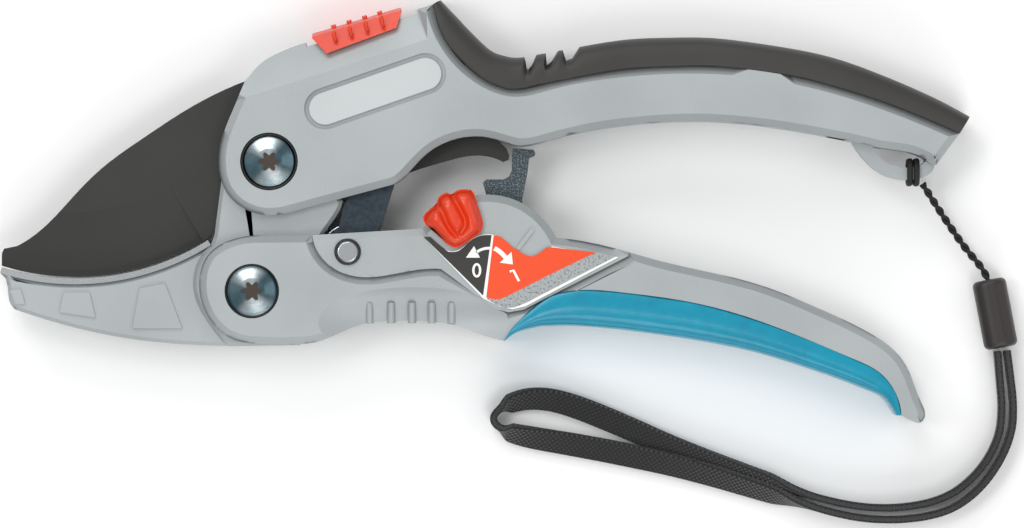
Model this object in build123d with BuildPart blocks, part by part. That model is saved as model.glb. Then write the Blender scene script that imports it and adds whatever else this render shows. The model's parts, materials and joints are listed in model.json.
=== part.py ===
from build123d import *
import math
import os

# Ratchet anvil pruning shears with a wrist lanyard, closed and lying flat.
# Millimetres. The origin is on the blade pivot axis, in the plane that the shears lie on.
# +X runs to the handle ends, +Y across the handles towards the upper one, +Z up.

os.makedirs("parts", exist_ok=True)

# ---------------------------------------------------------------- driving sizes
HANDLE_THICKNESS = 19.0  # both handle castings, face to face
MID = HANDLE_THICKNESS / 2  # height of the blade's mid-plane
EDGE_BEVEL = 1.6  # bevel round the castings' faces

BLADE_THICKNESS = 3.2
SIDE_GAP = 0.3  # side clearance between parts that turn past each other
RUNNING = 0.05  # radial clearance of a pin that turns
SEATED = 0.02  # radial clearance of a pin that stays put

ANVIL_THICKNESS = 10.2  # middle casting between the handle cheeks
JAW_THICKNESS = 8.8
PAD_THICKNESS = 1.3
PAD_WIDTH = 9.2
LINK_PLATE = 1.5

BOLT_R = 3.0
BOLT_HEAD_R = 5.8
BOLT_HEAD_HEIGHT = 2.6
BOLT_SINK_RIM = 0.6  # dark ring round the blade bolt's head
HANDLE_BOLT_RIM = 0.25  # thin ring round the handle bolt's head
NUT_HEIGHT = 3.2
NUT_R = 5.4

BLADE_PIVOT = (0.0, 0.0)
HANDLE_PIVOT = (-3.8, -28.7)
LINK_RIVET = (17.4, -20.0)
DIAL_CENTRE = (48.2, -24.4)
HOOK_PIVOT = (52.7, -15.6)

BLADE_BOSS_R = 12.2
BLADE_BACK_R = 18.76
EDGE_CENTRE = (-43.2, 29.6)  # the cutting edge and the pad are arcs about this point
EDGE_R = 55.2
GRIND_WIDTH = 14.4
EDGE_HALF = 0.15
EDGE_START = 252.7
EDGE_END = 302.0

DOME_R = 17.1
RECESS_DEPTH = 0.5
GRIP_PROUD = 0.3
CORE_HALF = 6.8
TOP_LAND_HALF = 5.6
ROOF_WIDTH = 7.3
TRACK_DEPTH = 0.95
BLADE_BACK_ROOM = 1.15  # inside the upper handle, round the blade's back

CORD_D = 1.8
BEAD_LENGTH = 15.6
BEAD_WIDTH = 7.5

# ---------------------------------------------------------------- worked-out sizes
HALF = HANDLE_THICKNESS / 2
BLADE_HALF = BLADE_THICKNESS / 2
FORK_HALF = BLADE_HALF + SIDE_GAP
ANVIL_HALF = ANVIL_THICKNESS / 2
CHANNEL_HALF = ANVIL_HALF + SIDE_GAP
LINK_INNER = BLADE_HALF + SIDE_GAP
LINK_OUTER = LINK_INNER + LINK_PLATE
LINK_PIN = (
    BLADE_PIVOT[0] + LINK_RIVET[0] - HANDLE_PIVOT[0],
    BLADE_PIVOT[1] + LINK_RIVET[1] - HANDLE_PIVOT[1],
)
FACE_B = HALF - RECESS_DEPTH
PAD_TOP_R = EDGE_R + SIDE_GAP
SEAT_R = PAD_TOP_R + PAD_THICKNESS


def polar(centre, radius, degrees):
    """Point at an angle and a radius from a centre."""
    turn = math.radians(degrees)
    return (centre[0] + radius * math.cos(turn), centre[1] + radius * math.sin(turn))


def finish(builder, name):
    """Label a finished piece and write its STEP file."""
    builder.part.label = name
    export_step(builder.part, f"parts/{name}.step")


# ---------------------------------------------------------------- upper handle outline
HEAD_CORNER = (-5.3, 18.0)
HEAD_SIDE_WAY = (-0.37, -0.929)
HEAD_LOW = (4.3, -11.3)
ARCH_START = (27.0, -5.2)
ARCH_END = (68.7, 6.4)
ARCH_END_WAY = (0.975, 0.22)
UPPER_END_TOP = (152.9, 6.2)
UPPER_END_LOW = (147.8, -0.7)
TRACK_START = (8.0, 26.4)
TOP_EDGE_ANGLE = 16.5
HORN_TOP = polar(TRACK_START, 29.4, TOP_EDGE_ANGLE)
GRIP_HORN = (38.0, 35.8)
GRIP_END = (155.3, 10.0)
UPPER_SEAM = [
    UPPER_END_TOP,
    (137.1, 12.7),
    (115.6, 18.9),
    (99.8, 20.9),
    (77.6, 20.2),
    (61.6, 17.3),
    (54.6, 15.9),
    (46.5, 18.8),
    (40.0, 25.2),
    HORN_TOP,
]

with BuildSketch() as upper_profile:
    with BuildLine():
        underside = Line(HEAD_LOW, ARCH_START)
        top_edge = Line(HORN_TOP, TRACK_START)
        Spline(
            HEAD_CORNER,
            (-8.3, 10.8),
            (-10.6, 4.6),
            (-11.0, -2.0),
            (-9.3, -7.0),
            (-5.0, -10.7),
            (0.0, -11.9),
            HEAD_LOW,
            tangents=[HEAD_SIDE_WAY, underside % 0],
        )
        Spline(
            ARCH_START,
            (30.9, -2.4),
            (37.0, 3.2),
            (41.8, 5.1),
            (46.4, 5.6),
            (50.9, 4.7),
            (56.0, 3.5),
            (61.6, 4.6),
            ARCH_END,
            tangents=[underside % 1, ARCH_END_WAY],
        )
        Spline(
            ARCH_END,
            (81.3, 8.3),
            (94.5, 9.0),
            (108.0, 8.1),
            (121.0, 6.1),
            (135.0, 3.1),
            UPPER_END_LOW,
            tangents=[ARCH_END_WAY, (0.957, -0.29)],
        )
        Line(UPPER_END_LOW, UPPER_END_TOP)
        Spline(*UPPER_SEAM)
        Spline(
            TRACK_START,
            (2.0, 24.1),
            (-2.7, 21.0),
            HEAD_CORNER,
            tangents=[top_edge % 1, (-0.75, -0.66)],
        )
    make_face()

# Dark soft cover over the back of the upper handle.
with BuildSketch() as upper_grip_profile:
    with BuildLine():
        Spline(*UPPER_SEAM)
        Line(HORN_TOP, GRIP_HORN)
        Spline(
            GRIP_HORN,
            (45.8, 27.6),
            (49.0, 24.7),
            (55.6, 23.1),
            (68.0, 25.2),
            (77.6, 26.9),
            (89.3, 27.5),
            (99.8, 27.3),
            (115.6, 25.1),
            (137.1, 18.7),
            GRIP_END,
        )
        Line(GRIP_END, UPPER_END_TOP)
    make_face()

# Aluminium tongue that the cover is moulded round.
with BuildSketch() as upper_core_profile:
    with BuildLine():
        Spline((43.5, 24.0), (49.5, 20.6), (56.0, 19.2), (78.0, 23.2), (96.0, 24.0), (126.0, 19.0), (149.0, 10.2))
        Polyline((149.0, 10.2), (147.5, 5.5), (126.0, 12.5), (108.0, 16.0), (90.0, 17.0))
        Polyline((90.0, 17.0), (76.0, 16.0), (60.0, 13.2), (50.0, 14.0), (43.5, 19.0), (43.5, 24.0))
    make_face()

# Gap between the upper cheeks: the blade's plane, open to the left and below.
with BuildSketch() as upper_gap_profile:
    Circle(BLADE_BACK_R + BLADE_BACK_ROOM)
    with BuildLine():
        Polyline(
            (0.0, BLADE_BACK_R + BLADE_BACK_ROOM),
            (14.0, 19.4),
            (26.0, 17.8),
            (36.0, 14.4),
            (46.0, 9.8),
            (55.8, 5.4),
            (57.0, -2.0),
            (30.0, -15.0),
            (0.0, -19.9),
            close=True,
        )
    make_face()

with BuildSketch() as bail_profile:
    with BuildLine():
        Spline(
            (128.0, 6.5),
            (131.6, 0.9),
            (134.7, -2.0),
            (138.4, -3.7),
            (143.8, -3.8),
            (146.2, -2.9),
            (147.6, -0.9),
        )
        Polyline((147.6, -0.9), (146.5, 3.0), (128.0, 6.5))
    make_face()

with BuildSketch() as bail_hole_profile:
    with BuildLine():
        Spline(
            (145.7, 0.4),
            (144.5, -0.7),
            (142.6, -1.2),
            (140.4, -1.3),
            (137.3, -0.5),
            (135.2, 1.3),
            (133.9, 3.3),
        )
        Spline((133.9, 3.3), (139.5, 2.5), (143.4, 1.6), (145.7, 0.4))
    make_face()

# ---------------------------------------------------------------- upper handle


def way(degrees):
    """Unit direction in the rest plane."""
    return (math.cos(math.radians(degrees)), math.sin(math.radians(degrees)), 0)


def section_plane(point, degrees):
    """Plane across a straight run: its local x is the run's upper side, its local y is +Z."""
    return Plane(origin=(*point, MID), x_dir=way(degrees + 90), z_dir=way(degrees))


CREASE_START = (-4.9, 14.2)
CREASE_ANGLE = 17.9
CREASE_LENGTH = 50.0
CREASE_LEAD = 8.0
ROOF_DROP = HALF - TOP_LAND_HALF
ROOF_REACH = 14.0
PILL_CENTRES = ((12.4, 11.7), (34.6, 19.4))
PILL_R = 4.6
PLATE_R = 3.7
PLATE_THICKNESS = 0.6
PILL_DEPTH = 1.0
BAIL_HALF = 4.0
TRACK_LENGTH = 25.4
SLOT_RUN = (6.0, 18.5)  # from and to, along the track
SLOT_HALF = 2.2
DOWELS = ((6.3, -6.3), (-6.3, 6.3))
DOWEL_R = 1.5
DOWEL_SPAN = (2.3, 7.8)

PILL_LENGTH = math.dist(*PILL_CENTRES)
PILL_ANGLE = math.degrees(
    math.atan2(PILL_CENTRES[1][1] - PILL_CENTRES[0][1], PILL_CENTRES[1][0] - PILL_CENTRES[0][0])
)
PILL_MIDDLE = (
    (PILL_CENTRES[0][0] + PILL_CENTRES[1][0]) / 2,
    (PILL_CENTRES[0][1] + PILL_CENTRES[1][1]) / 2,
)
BOLT_SINK = BOLT_HEAD_HEIGHT + 0.2

with BuildPart() as upper_handle:
    with BuildSketch():
        add(upper_profile.sketch)
    extrude(amount=HANDLE_THICKNESS)
    rims = upper_handle.edges().group_by(Axis.Z)[0] + upper_handle.edges().group_by(Axis.Z)[-1]
    chamfer([edge for edge in rims if edge.distance_to(Vector(150.4, 2.8, edge.center().Z)) < 0.3], length=EDGE_BEVEL)
    with BuildSketch(section_plane(CREASE_START, CREASE_ANGLE).offset(-CREASE_LEAD)):
        with BuildLine():
            Polyline(
                (0.0, HALF),
                (ROOF_REACH, HALF - ROOF_REACH * ROOF_DROP / ROOF_WIDTH),
                (ROOF_REACH, HALF + 1.0),
                (0.0, HALF + 1.0),
                close=True,
            )
        make_face()
        mirror(about=Plane.XZ)
    extrude(amount=CREASE_LENGTH, mode=Mode.SUBTRACT)
    with BuildSketch(section_plane(TRACK_START, TOP_EDGE_ANGLE)):
        with Locations((0, 0)):
            Rectangle(2 * TRACK_DEPTH, HANDLE_THICKNESS)
    extrude(amount=TRACK_LENGTH, mode=Mode.SUBTRACT)
    with BuildSketch(section_plane(TRACK_START, TOP_EDGE_ANGLE).offset(SLOT_RUN[0])):
        with Locations((-8.0, 0)):
            Rectangle(18.0, 2 * SLOT_HALF)
    extrude(amount=SLOT_RUN[1] - SLOT_RUN[0], mode=Mode.SUBTRACT)
    with BuildSketch(Plane.XY.offset(MID - CORE_HALF)):
        add(upper_core_profile.sketch)
    extrude(amount=2 * CORE_HALF)
    with BuildSketch(Plane.XY.offset(MID - BAIL_HALF)):
        add(bail_profile.sketch)
    extrude(amount=2 * BAIL_HALF)
    with BuildSketch():
        add(bail_hole_profile.sketch)
    extrude(amount=HANDLE_THICKNESS, mode=Mode.SUBTRACT)
    with BuildSketch(Plane.XY.offset(MID - ANVIL_HALF)):
        add(upper_gap_profile.sketch)
    extrude(amount=ANVIL_THICKNESS, mode=Mode.SUBTRACT)
    with BuildSketch(Plane.XY.offset(HANDLE_THICKNESS - PILL_DEPTH)):
        with Locations(PILL_MIDDLE):
            SlotCenterToCenter(PILL_LENGTH, 2 * PILL_R, rotation=PILL_ANGLE)
    extrude(amount=PILL_DEPTH, mode=Mode.SUBTRACT)
    with Locations((*BLADE_PIVOT, HANDLE_THICKNESS)):
        CounterBoreHole(BOLT_R + SEATED, BOLT_HEAD_R + BOLT_SINK_RIM, BOLT_SINK)
    with BuildSketch():
        with Locations(BLADE_PIVOT):
            Circle(NUT_R + SEATED)
    extrude(amount=NUT_HEIGHT, mode=Mode.SUBTRACT)
    with BuildSketch(Plane.XY.offset(MID - DOWEL_SPAN[1])):
        with Locations(*DOWELS):
            Circle(DOWEL_R + SEATED)
    extrude(amount=2 * DOWEL_SPAN[1], mode=Mode.SUBTRACT)
finish(upper_handle, "upper_handle")

GROOVES = ((58.0, 23.4), (62.3, 24.2), (66.8, 25.0))
GROOVE_WIDTH = 1.7
GROOVE_LENGTH = 6.0
with BuildPart() as upper_grip:
    with BuildSketch():
        add(upper_grip_profile.sketch)
    extrude(amount=HANDLE_THICKNESS + GRIP_PROUD)
    with BuildSketch(Plane.XY.offset(MID - CORE_HALF)):
        add(upper_core_profile.sketch)
    extrude(amount=2 * CORE_HALF, mode=Mode.SUBTRACT)
    with BuildSketch():
        with Locations(*GROOVES):
            SlotOverall(GROOVE_LENGTH, GROOVE_WIDTH, rotation=102)
    extrude(amount=HANDLE_THICKNESS + GRIP_PROUD, mode=Mode.SUBTRACT)
finish(upper_grip, "upper_grip")

with BuildPart() as badge_plate:
    with BuildSketch(Plane.XY.offset(HANDLE_THICKNESS - PILL_DEPTH)):
        with Locations(PILL_MIDDLE):
            SlotCenterToCenter(PILL_LENGTH, 2 * PLATE_R, rotation=PILL_ANGLE)
    extrude(amount=PLATE_THICKNESS)
    chamfer(badge_plate.edges().group_by(Axis.Z)[-1], length=0.2)
finish(badge_plate, "badge_plate")

# ---------------------------------------------------------------- anvil body
SEAT_START = 253.0
SEAT_END = 302.1
SEAT_LEFT = polar(EDGE_CENTRE, SEAT_R, SEAT_START)
SEAT_RIGHT = polar(EDGE_CENTRE, SEAT_R, SEAT_END)
CHEEK_R = 10.5
CHEEK_LEFT = (-10.7, -4.4)
CHEEK_RIGHT = (16.2, -8.7)
FORK_FLOOR = -16.6
HUB_R = 15.9  # the anvil body's rear edge, round the handle pivot
HUB_LOW = polar(HANDLE_PIVOT, HUB_R, -49.0)
HUB_HIGH = polar(HANDLE_PIVOT, HUB_R, 22.3)
BOSS_RISE = 0.5

with BuildSketch() as jaw_profile:
    with BuildLine():
        CenterArc(EDGE_CENTRE, SEAT_R, SEAT_START, SEAT_END - SEAT_START)
        Polyline(SEAT_RIGHT, (-9.0, -20.0), (-6.0, -40.9))
        Spline((-6.0, -40.9), (-20.9, -40.4), (-34.0, -38.8), (-47.0, -35.8), (-56.2, -32.9))
        Spline((-56.2, -32.9), (-57.7, -31.0), (-58.2, -27.3), SEAT_LEFT)
    make_face()

with BuildSketch() as centre_profile:
    with BuildLine():
        Spline(
            SEAT_RIGHT,
            (-16.2, -23.0),
            (-16.9, -28.0),
            (-14.6, -34.2),
            (-9.5, -40.95),
        )
        Line((-9.5, -40.95), HUB_LOW)
        CenterArc(HANDLE_PIVOT, HUB_R, -49.0, 71.3)
        Spline(HUB_HIGH, (10.6, -19.0), (12.1, -15.9), CHEEK_RIGHT)
        Polyline(CHEEK_RIGHT, polar(BLADE_PIVOT, CHEEK_R, -15.0))
        CenterArc(BLADE_PIVOT, CHEEK_R, -15.0, 225.0)
        Polyline(polar(BLADE_PIVOT, CHEEK_R, 210.0), CHEEK_LEFT, (-12.2, -16.2), SEAT_RIGHT)
    make_face()

with BuildPart() as anvil_body:
    with BuildSketch(Plane.XY.offset(MID - JAW_THICKNESS / 2)):
        add(jaw_profile.sketch)
    extrude(amount=JAW_THICKNESS)
    with BuildSketch(Plane.XY.offset(MID - JAW_THICKNESS / 2 - BOSS_RISE)):
        with BuildLine():
            Polyline((-45.6, -29.0), (-39.9, -29.0), (-38.6, -34.6), (-46.6, -33.4), close=True)
        make_face()
        with BuildLine():
            Polyline((-28.8, -28.1), (-23.2, -27.0), (-19.4, -37.0), (-30.4, -37.0), close=True)
        make_face()
        with BuildLine():
            Polyline((-57.6, -28.6), (-55.2, -28.2), (-54.2, -31.6), (-56.2, -31.6), close=True)
        make_face()
    extrude(amount=JAW_THICKNESS + 2 * BOSS_RISE)
    with BuildSketch(Plane.XY.offset(MID - ANVIL_HALF)):
        add(centre_profile.sketch)
    extrude(amount=ANVIL_THICKNESS)
    with BuildSketch(Plane.XY.offset(MID - FORK_HALF)):
        with Locations((0, FORK_FLOOR + 20.0)):
            Rectangle(60.0, 40.0)
    extrude(amount=2 * FORK_HALF, mode=Mode.SUBTRACT)
    with BuildSketch():
        with Locations(BLADE_PIVOT):
            Circle(BOLT_R + SEATED)
        with Locations(HANDLE_PIVOT):
            Circle(BOLT_R + RUNNING)
        with Locations(*DOWELS):
            Circle(DOWEL_R + SEATED)
    extrude(amount=HANDLE_THICKNESS, mode=Mode.SUBTRACT)
finish(anvil_body, "anvil_body")

with BuildPart() as anvil_pad:
    with BuildSketch(Plane.XY.offset(MID - PAD_WIDTH / 2)):
        with BuildLine():
            CenterArc(EDGE_CENTRE, SEAT_R, SEAT_START, SEAT_END - SEAT_START)
            CenterArc(EDGE_CENTRE, PAD_TOP_R, SEAT_START, SEAT_END - SEAT_START)
            Line(polar(EDGE_CENTRE, SEAT_R, SEAT_START), polar(EDGE_CENTRE, PAD_TOP_R, SEAT_START))
            Line(polar(EDGE_CENTRE, SEAT_R, SEAT_END), polar(EDGE_CENTRE, PAD_TOP_R, SEAT_END))
        make_face()
    extrude(amount=PAD_WIDTH)
finish(anvil_pad, "anvil_pad")

# Four short dowels, two each side, key the anvil body to the upper handle.
with BuildPart() as anvil_dowels:
    for low in (MID - DOWEL_SPAN[1], MID + DOWEL_SPAN[0]):
        with BuildSketch(Plane.XY.offset(low)):
            with Locations(*DOWELS):
                Circle(DOWEL_R)
        extrude(amount=DOWEL_SPAN[1] - DOWEL_SPAN[0])
finish(anvil_dowels, "anvil_dowels")

# ---------------------------------------------------------------- pivot bolts and nuts
TORX_CORE_R = 1.75
TORX_LOBE_R = 0.65
TORX_LOBE_AT = 1.9
TORX_DEPTH = 1.7
HEAD_FLAT_R = 2.9
HEAD_EDGE = 1.3
BOLT_END = 1.2
NUT_SKIN = 0.8
HEAD_TOP = HANDLE_THICKNESS - 0.2
HEAD_SEAT = HANDLE_THICKNESS - BOLT_SINK


def torx_bolt(centre):
    """Pivot bolt: low conical head with a six-lobe socket, and a plain shank."""
    with BuildPart() as bolt:
        with BuildSketch(Plane.XZ):
            with BuildLine():
                Polyline(
                    (0.0, BOLT_END),
                    (BOLT_R - 0.3, BOLT_END),
                    (BOLT_R, BOLT_END + 0.3),
                    (BOLT_R, HEAD_SEAT),
                    (BOLT_HEAD_R, HEAD_SEAT),
                    (BOLT_HEAD_R, HEAD_SEAT + HEAD_EDGE),
                    (BOLT_HEAD_R - 0.3, HEAD_SEAT + HEAD_EDGE + 0.3),
                    (HEAD_FLAT_R, HEAD_TOP),
                    (0.0, HEAD_TOP),
                    close=True,
                )
            make_face()
        revolve(axis=Axis.Z)
        with BuildSketch(Plane.XY.offset(HEAD_TOP - TORX_DEPTH)):
            Circle(TORX_CORE_R)
            with PolarLocations(TORX_LOBE_AT, 6):
                Circle(TORX_LOBE_R)
        extrude(amount=TORX_DEPTH, mode=Mode.SUBTRACT)
    return bolt.part.moved(Location((*centre, 0)))


def cap_nut(centre):
    """Round cap nut, flush with the underside, open towards the bolt."""
    with BuildPart() as nut:
        with BuildSketch():
            Circle(NUT_R)
        extrude(amount=NUT_HEIGHT)
        with BuildSketch(Plane.XY.offset(NUT_SKIN)):
            Circle(BOLT_R + SEATED)
        extrude(amount=NUT_HEIGHT, mode=Mode.SUBTRACT)
        chamfer(nut.edges().group_by(Axis.Z)[0], length=0.3)
    return nut.part.moved(Location((*centre, 0)))


with BuildPart() as blade_bolt:
    add(torx_bolt(BLADE_PIVOT))
finish(blade_bolt, "blade_bolt")

with BuildPart() as blade_nut:
    add(cap_nut(BLADE_PIVOT))
finish(blade_nut, "blade_nut")

with BuildPart() as handle_bolt:
    add(torx_bolt(HANDLE_PIVOT))
finish(handle_bolt, "handle_bolt")

with BuildPart() as handle_nut:
    add(cap_nut(HANDLE_PIVOT))
finish(handle_nut, "handle_nut")

# ---------------------------------------------------------------- blade with its tang
BUSH_R = 5.0
BUSH_HALF = BLADE_HALF + 0.2
HEEL = polar(EDGE_CENTRE, EDGE_R, EDGE_END)
TIP_LOW = polar(EDGE_CENTRE, EDGE_R, EDGE_START)
BOSS_LEFT = polar(BLADE_PIVOT, BLADE_BOSS_R, 235.0)
BOSS_RIGHT = polar(BLADE_PIVOT, BLADE_BOSS_R, 308.0)
BACK_LEFT = polar(BLADE_PIVOT, BLADE_BACK_R, 106.4)
BACK_RIGHT = polar(BLADE_PIVOT, BLADE_BACK_R, 78.0)
PIN_R = 2.0
PIN_ROOM = 0.3
NOTCHES = 4
NOTCH_PITCH = 3.6
NOTCH_ANGLE = -20.0
SLOT_DROP = 1.3

with BuildPart() as blade:
    with BuildSketch(Plane.XY.offset(MID - BLADE_HALF)):
        with BuildLine():
            CenterArc(EDGE_CENTRE, EDGE_R, EDGE_START, EDGE_END - EDGE_START)
            Line(HEEL, BOSS_LEFT)
            CenterArc(BLADE_PIVOT, BLADE_BOSS_R, 235.0, 73.0)
            Line(BOSS_RIGHT, (26.0, -5.1))
            Spline((26.0, -5.1), (30.6, -2.6), (38.1, -0.2), (45.6, 1.4), (51.8, 0.0))
            Polyline((51.8, 0.0), (53.0, 0.4), (53.2, 1.4), (52.6, 2.9), (51.0, 4.5))
            Spline((51.0, 4.5), (44.0, 8.6), (34.0, 13.3), (24.0, 16.3), BACK_RIGHT)
            CenterArc(BLADE_PIVOT, BLADE_BACK_R, 78.0, 28.4)
            Spline(
                BACK_LEFT,
                (-19.6, 10.9),
                (-28.1, 5.3),
                (-36.7, -0.9),
                (-41.8, -5.7),
                (-50.7, -15.0),
                (-56.2, -18.7),
            )
            Polyline((-56.2, -18.7), (-59.1, -19.3), (-59.6, -20.4), TIP_LOW)
        make_face()
        with Locations(BLADE_PIVOT):
            Circle(BUSH_R, mode=Mode.SUBTRACT)
        for step in range(NOTCHES):
            with Locations(polar(LINK_PIN, step * NOTCH_PITCH, NOTCH_ANGLE)):
                Circle(PIN_R + PIN_ROOM, mode=Mode.SUBTRACT)
        with Locations(
            polar(polar(LINK_PIN, SLOT_DROP, NOTCH_ANGLE - 90), (NOTCHES - 1) * NOTCH_PITCH / 2, NOTCH_ANGLE)
        ):
            SlotCenterToCenter(
                (NOTCHES - 1) * NOTCH_PITCH, 2 * (PIN_R + PIN_ROOM), rotation=NOTCH_ANGLE, mode=Mode.SUBTRACT
            )
    extrude(amount=BLADE_THICKNESS)
    # The ground faces are shallow cones about the same axis as the cutting edge.
    with BuildSketch(Plane(origin=(*EDGE_CENTRE, MID), x_dir=way(EDGE_START - 4), z_dir=way(EDGE_START - 94))):
        with BuildLine():
            Polyline(
                (EDGE_R - GRIND_WIDTH, BLADE_HALF),
                (EDGE_R, EDGE_HALF),
                (EDGE_R + 1.0, EDGE_HALF),
                (EDGE_R + 1.0, BLADE_HALF + 1.0),
                (EDGE_R - GRIND_WIDTH, BLADE_HALF + 1.0),
                close=True,
            )
        make_face()
        mirror(about=Plane.XZ)
    revolve(
        axis=Axis((*EDGE_CENTRE, MID), (0, 0, 1)),
        revolution_arc=EDGE_END - EDGE_START + 3,
        mode=Mode.SUBTRACT,
    )
finish(blade, "blade")

with BuildPart() as blade_bush:
    with BuildSketch(Plane.XY.offset(MID - BUSH_HALF)):
        with Locations(BLADE_PIVOT):
            Circle(BUSH_R - SEATED)
            Circle(BOLT_R + RUNNING, mode=Mode.SUBTRACT)
    extrude(amount=2 * BUSH_HALF)
finish(blade_bush, "blade_bush")

# ---------------------------------------------------------------- lower handle
DOME_LEFT = polar(DIAL_CENTRE, DOME_R, 146.0)
DOME_RIGHT = polar(DIAL_CENTRE, DOME_R, 26.0)
LOWER_HEAD = (-1.6, -16.4)
LOWER_FRONT = (52.0, -39.7)
LOWER_TIP = (140.0, -56.2)
LOWER_SEAM = [
    LOWER_TIP,
    (138.6, -51.0),
    (135.0, -46.6),
    (129.6, -43.8),
    (112.4, -36.7),
    (94.2, -31.3),
    (78.4, -29.0),
    (70.3, -28.4),
    (62.4, -29.8),
    (56.6, -34.0),
    LOWER_FRONT,
]

with BuildSketch() as lower_profile:
    with BuildLine():
        Polyline(LOWER_HEAD, (9.6, -16.3), DOME_LEFT)
        CenterArc(DIAL_CENTRE, DOME_R, 26.0, 120.0)
        Spline(
            DOME_RIGHT,
            (69.3, -17.6),
            (76.9, -19.3),
            (86.4, -22.0),
            (95.6, -24.1),
            (110.4, -27.9),
            (118.9, -31.3),
            (127.4, -35.1),
            (134.4, -38.8),
            (139.4, -42.8),
            (142.2, -47.6),
            (144.4, -53.3),
            (145.2, -56.6),
            (144.2, -57.8),
            (142.2, -57.3),
            LOWER_TIP,
        )
        Spline(*LOWER_SEAM)
        Spline(
            LOWER_FRONT,
            (46.7, -38.2),
            (41.1, -36.3),
            (37.0, -35.5),
            (28.0, -35.3),
            (21.6, -35.8),
            (16.1, -37.7),
            (11.8, -39.6),
            (5.3, -40.5),
            (-2.0, -40.4),
            (-7.8, -39.4),
            (-12.0, -36.4),
            (-14.8, -31.5),
            (-15.4, -26.0),
            (-13.6, -20.8),
            (-9.0, -17.6),
            LOWER_HEAD,
        )
    make_face()

with BuildSketch() as lower_grip_profile:
    with BuildLine():
        Spline(*LOWER_SEAM)
        Spline(
            LOWER_FRONT,
            (54.7, -38.0),
            (59.5, -36.7),
            (66.4, -36.4),
            (78.0, -37.3),
            (90.2, -38.9),
            (104.0, -41.4),
            (121.1, -46.4),
            (129.6, -49.6),
            (136.0, -52.4),
            (138.7, -56.2),
        )
        Line((138.7, -56.2), LOWER_TIP)
    make_face()

with BuildSketch() as lower_core_profile:
    with BuildLine():
        Spline((57.5, -33.6), (67.0, -32.4), (78.0, -33.3), (92.0, -35.4), (112.0, -39.7), (133.0, -47.6))
        Polyline((133.0, -47.6), (133.5, -42.0), (112.0, -33.0), (92.0, -27.5), (66.0, -25.0), (57.5, -33.6))
    make_face()

with BuildSketch() as recess_profile:
    with BuildLine():
        Spline(
            (9.6, -15.0),
            (10.2, -18.8),
            (13.6, -23.2),
            (20.4, -25.6),
            (28.9, -24.7),
            (38.1, -23.8),
        )
        Polyline((38.1, -23.8), (47.9, -31.1), (50.4, -32.8), (53.0, -33.4), (56.4, -32.8))
        Polyline((56.4, -32.8), (79.6, -20.9), (79.6, -5.0), (9.6, -5.0), (9.6, -15.0))
    make_face()

# Space between the lower cheeks, open along the top.
with BuildSketch() as lower_gap_profile:
    with Locations(HANDLE_PIVOT):
        Circle(HUB_R + 1.1)
    with Locations(DIAL_CENTRE):
        Circle(6.6)
    with BuildLine():
        Polyline(
            (4.0, -5.0),
            (4.0, -26.7),
            (45.0, -26.7),
            (54.5, -26.0),
            (67.0, -20.6),
            (67.0, -5.0),
            close=True,
        )
    make_face()

SCOOP_R = 11.0
SCOOP_MIDDLE = (32.0, -35.6)
SCOOP_RISE = 7.8  # of the hollow's centre above the casting's face
SCOOP_SPREAD = 60.0
RIBS = (22.2, 27.0, 31.6, 36.0, 40.4)
RIB_R = 0.9
SPINDLE_R = 2.5
SPINDLE_SPAN = (1.0, 18.0)
HOOK_PIN_R = 1.5
HOOK_PIN_LOW = 1.5
HOOK_HALF = 2.4
RIVET_R = 2.0
RIVET_HEAD_R = 2.5
RIVET_HEAD_HEIGHT = 0.8
RIVET_SINK_R = 2.9
RIVET_SINK = 0.9
MARK_LOW = (55.3, -19.1)
MARK_HIGH = (58.2, -15.3)

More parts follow.
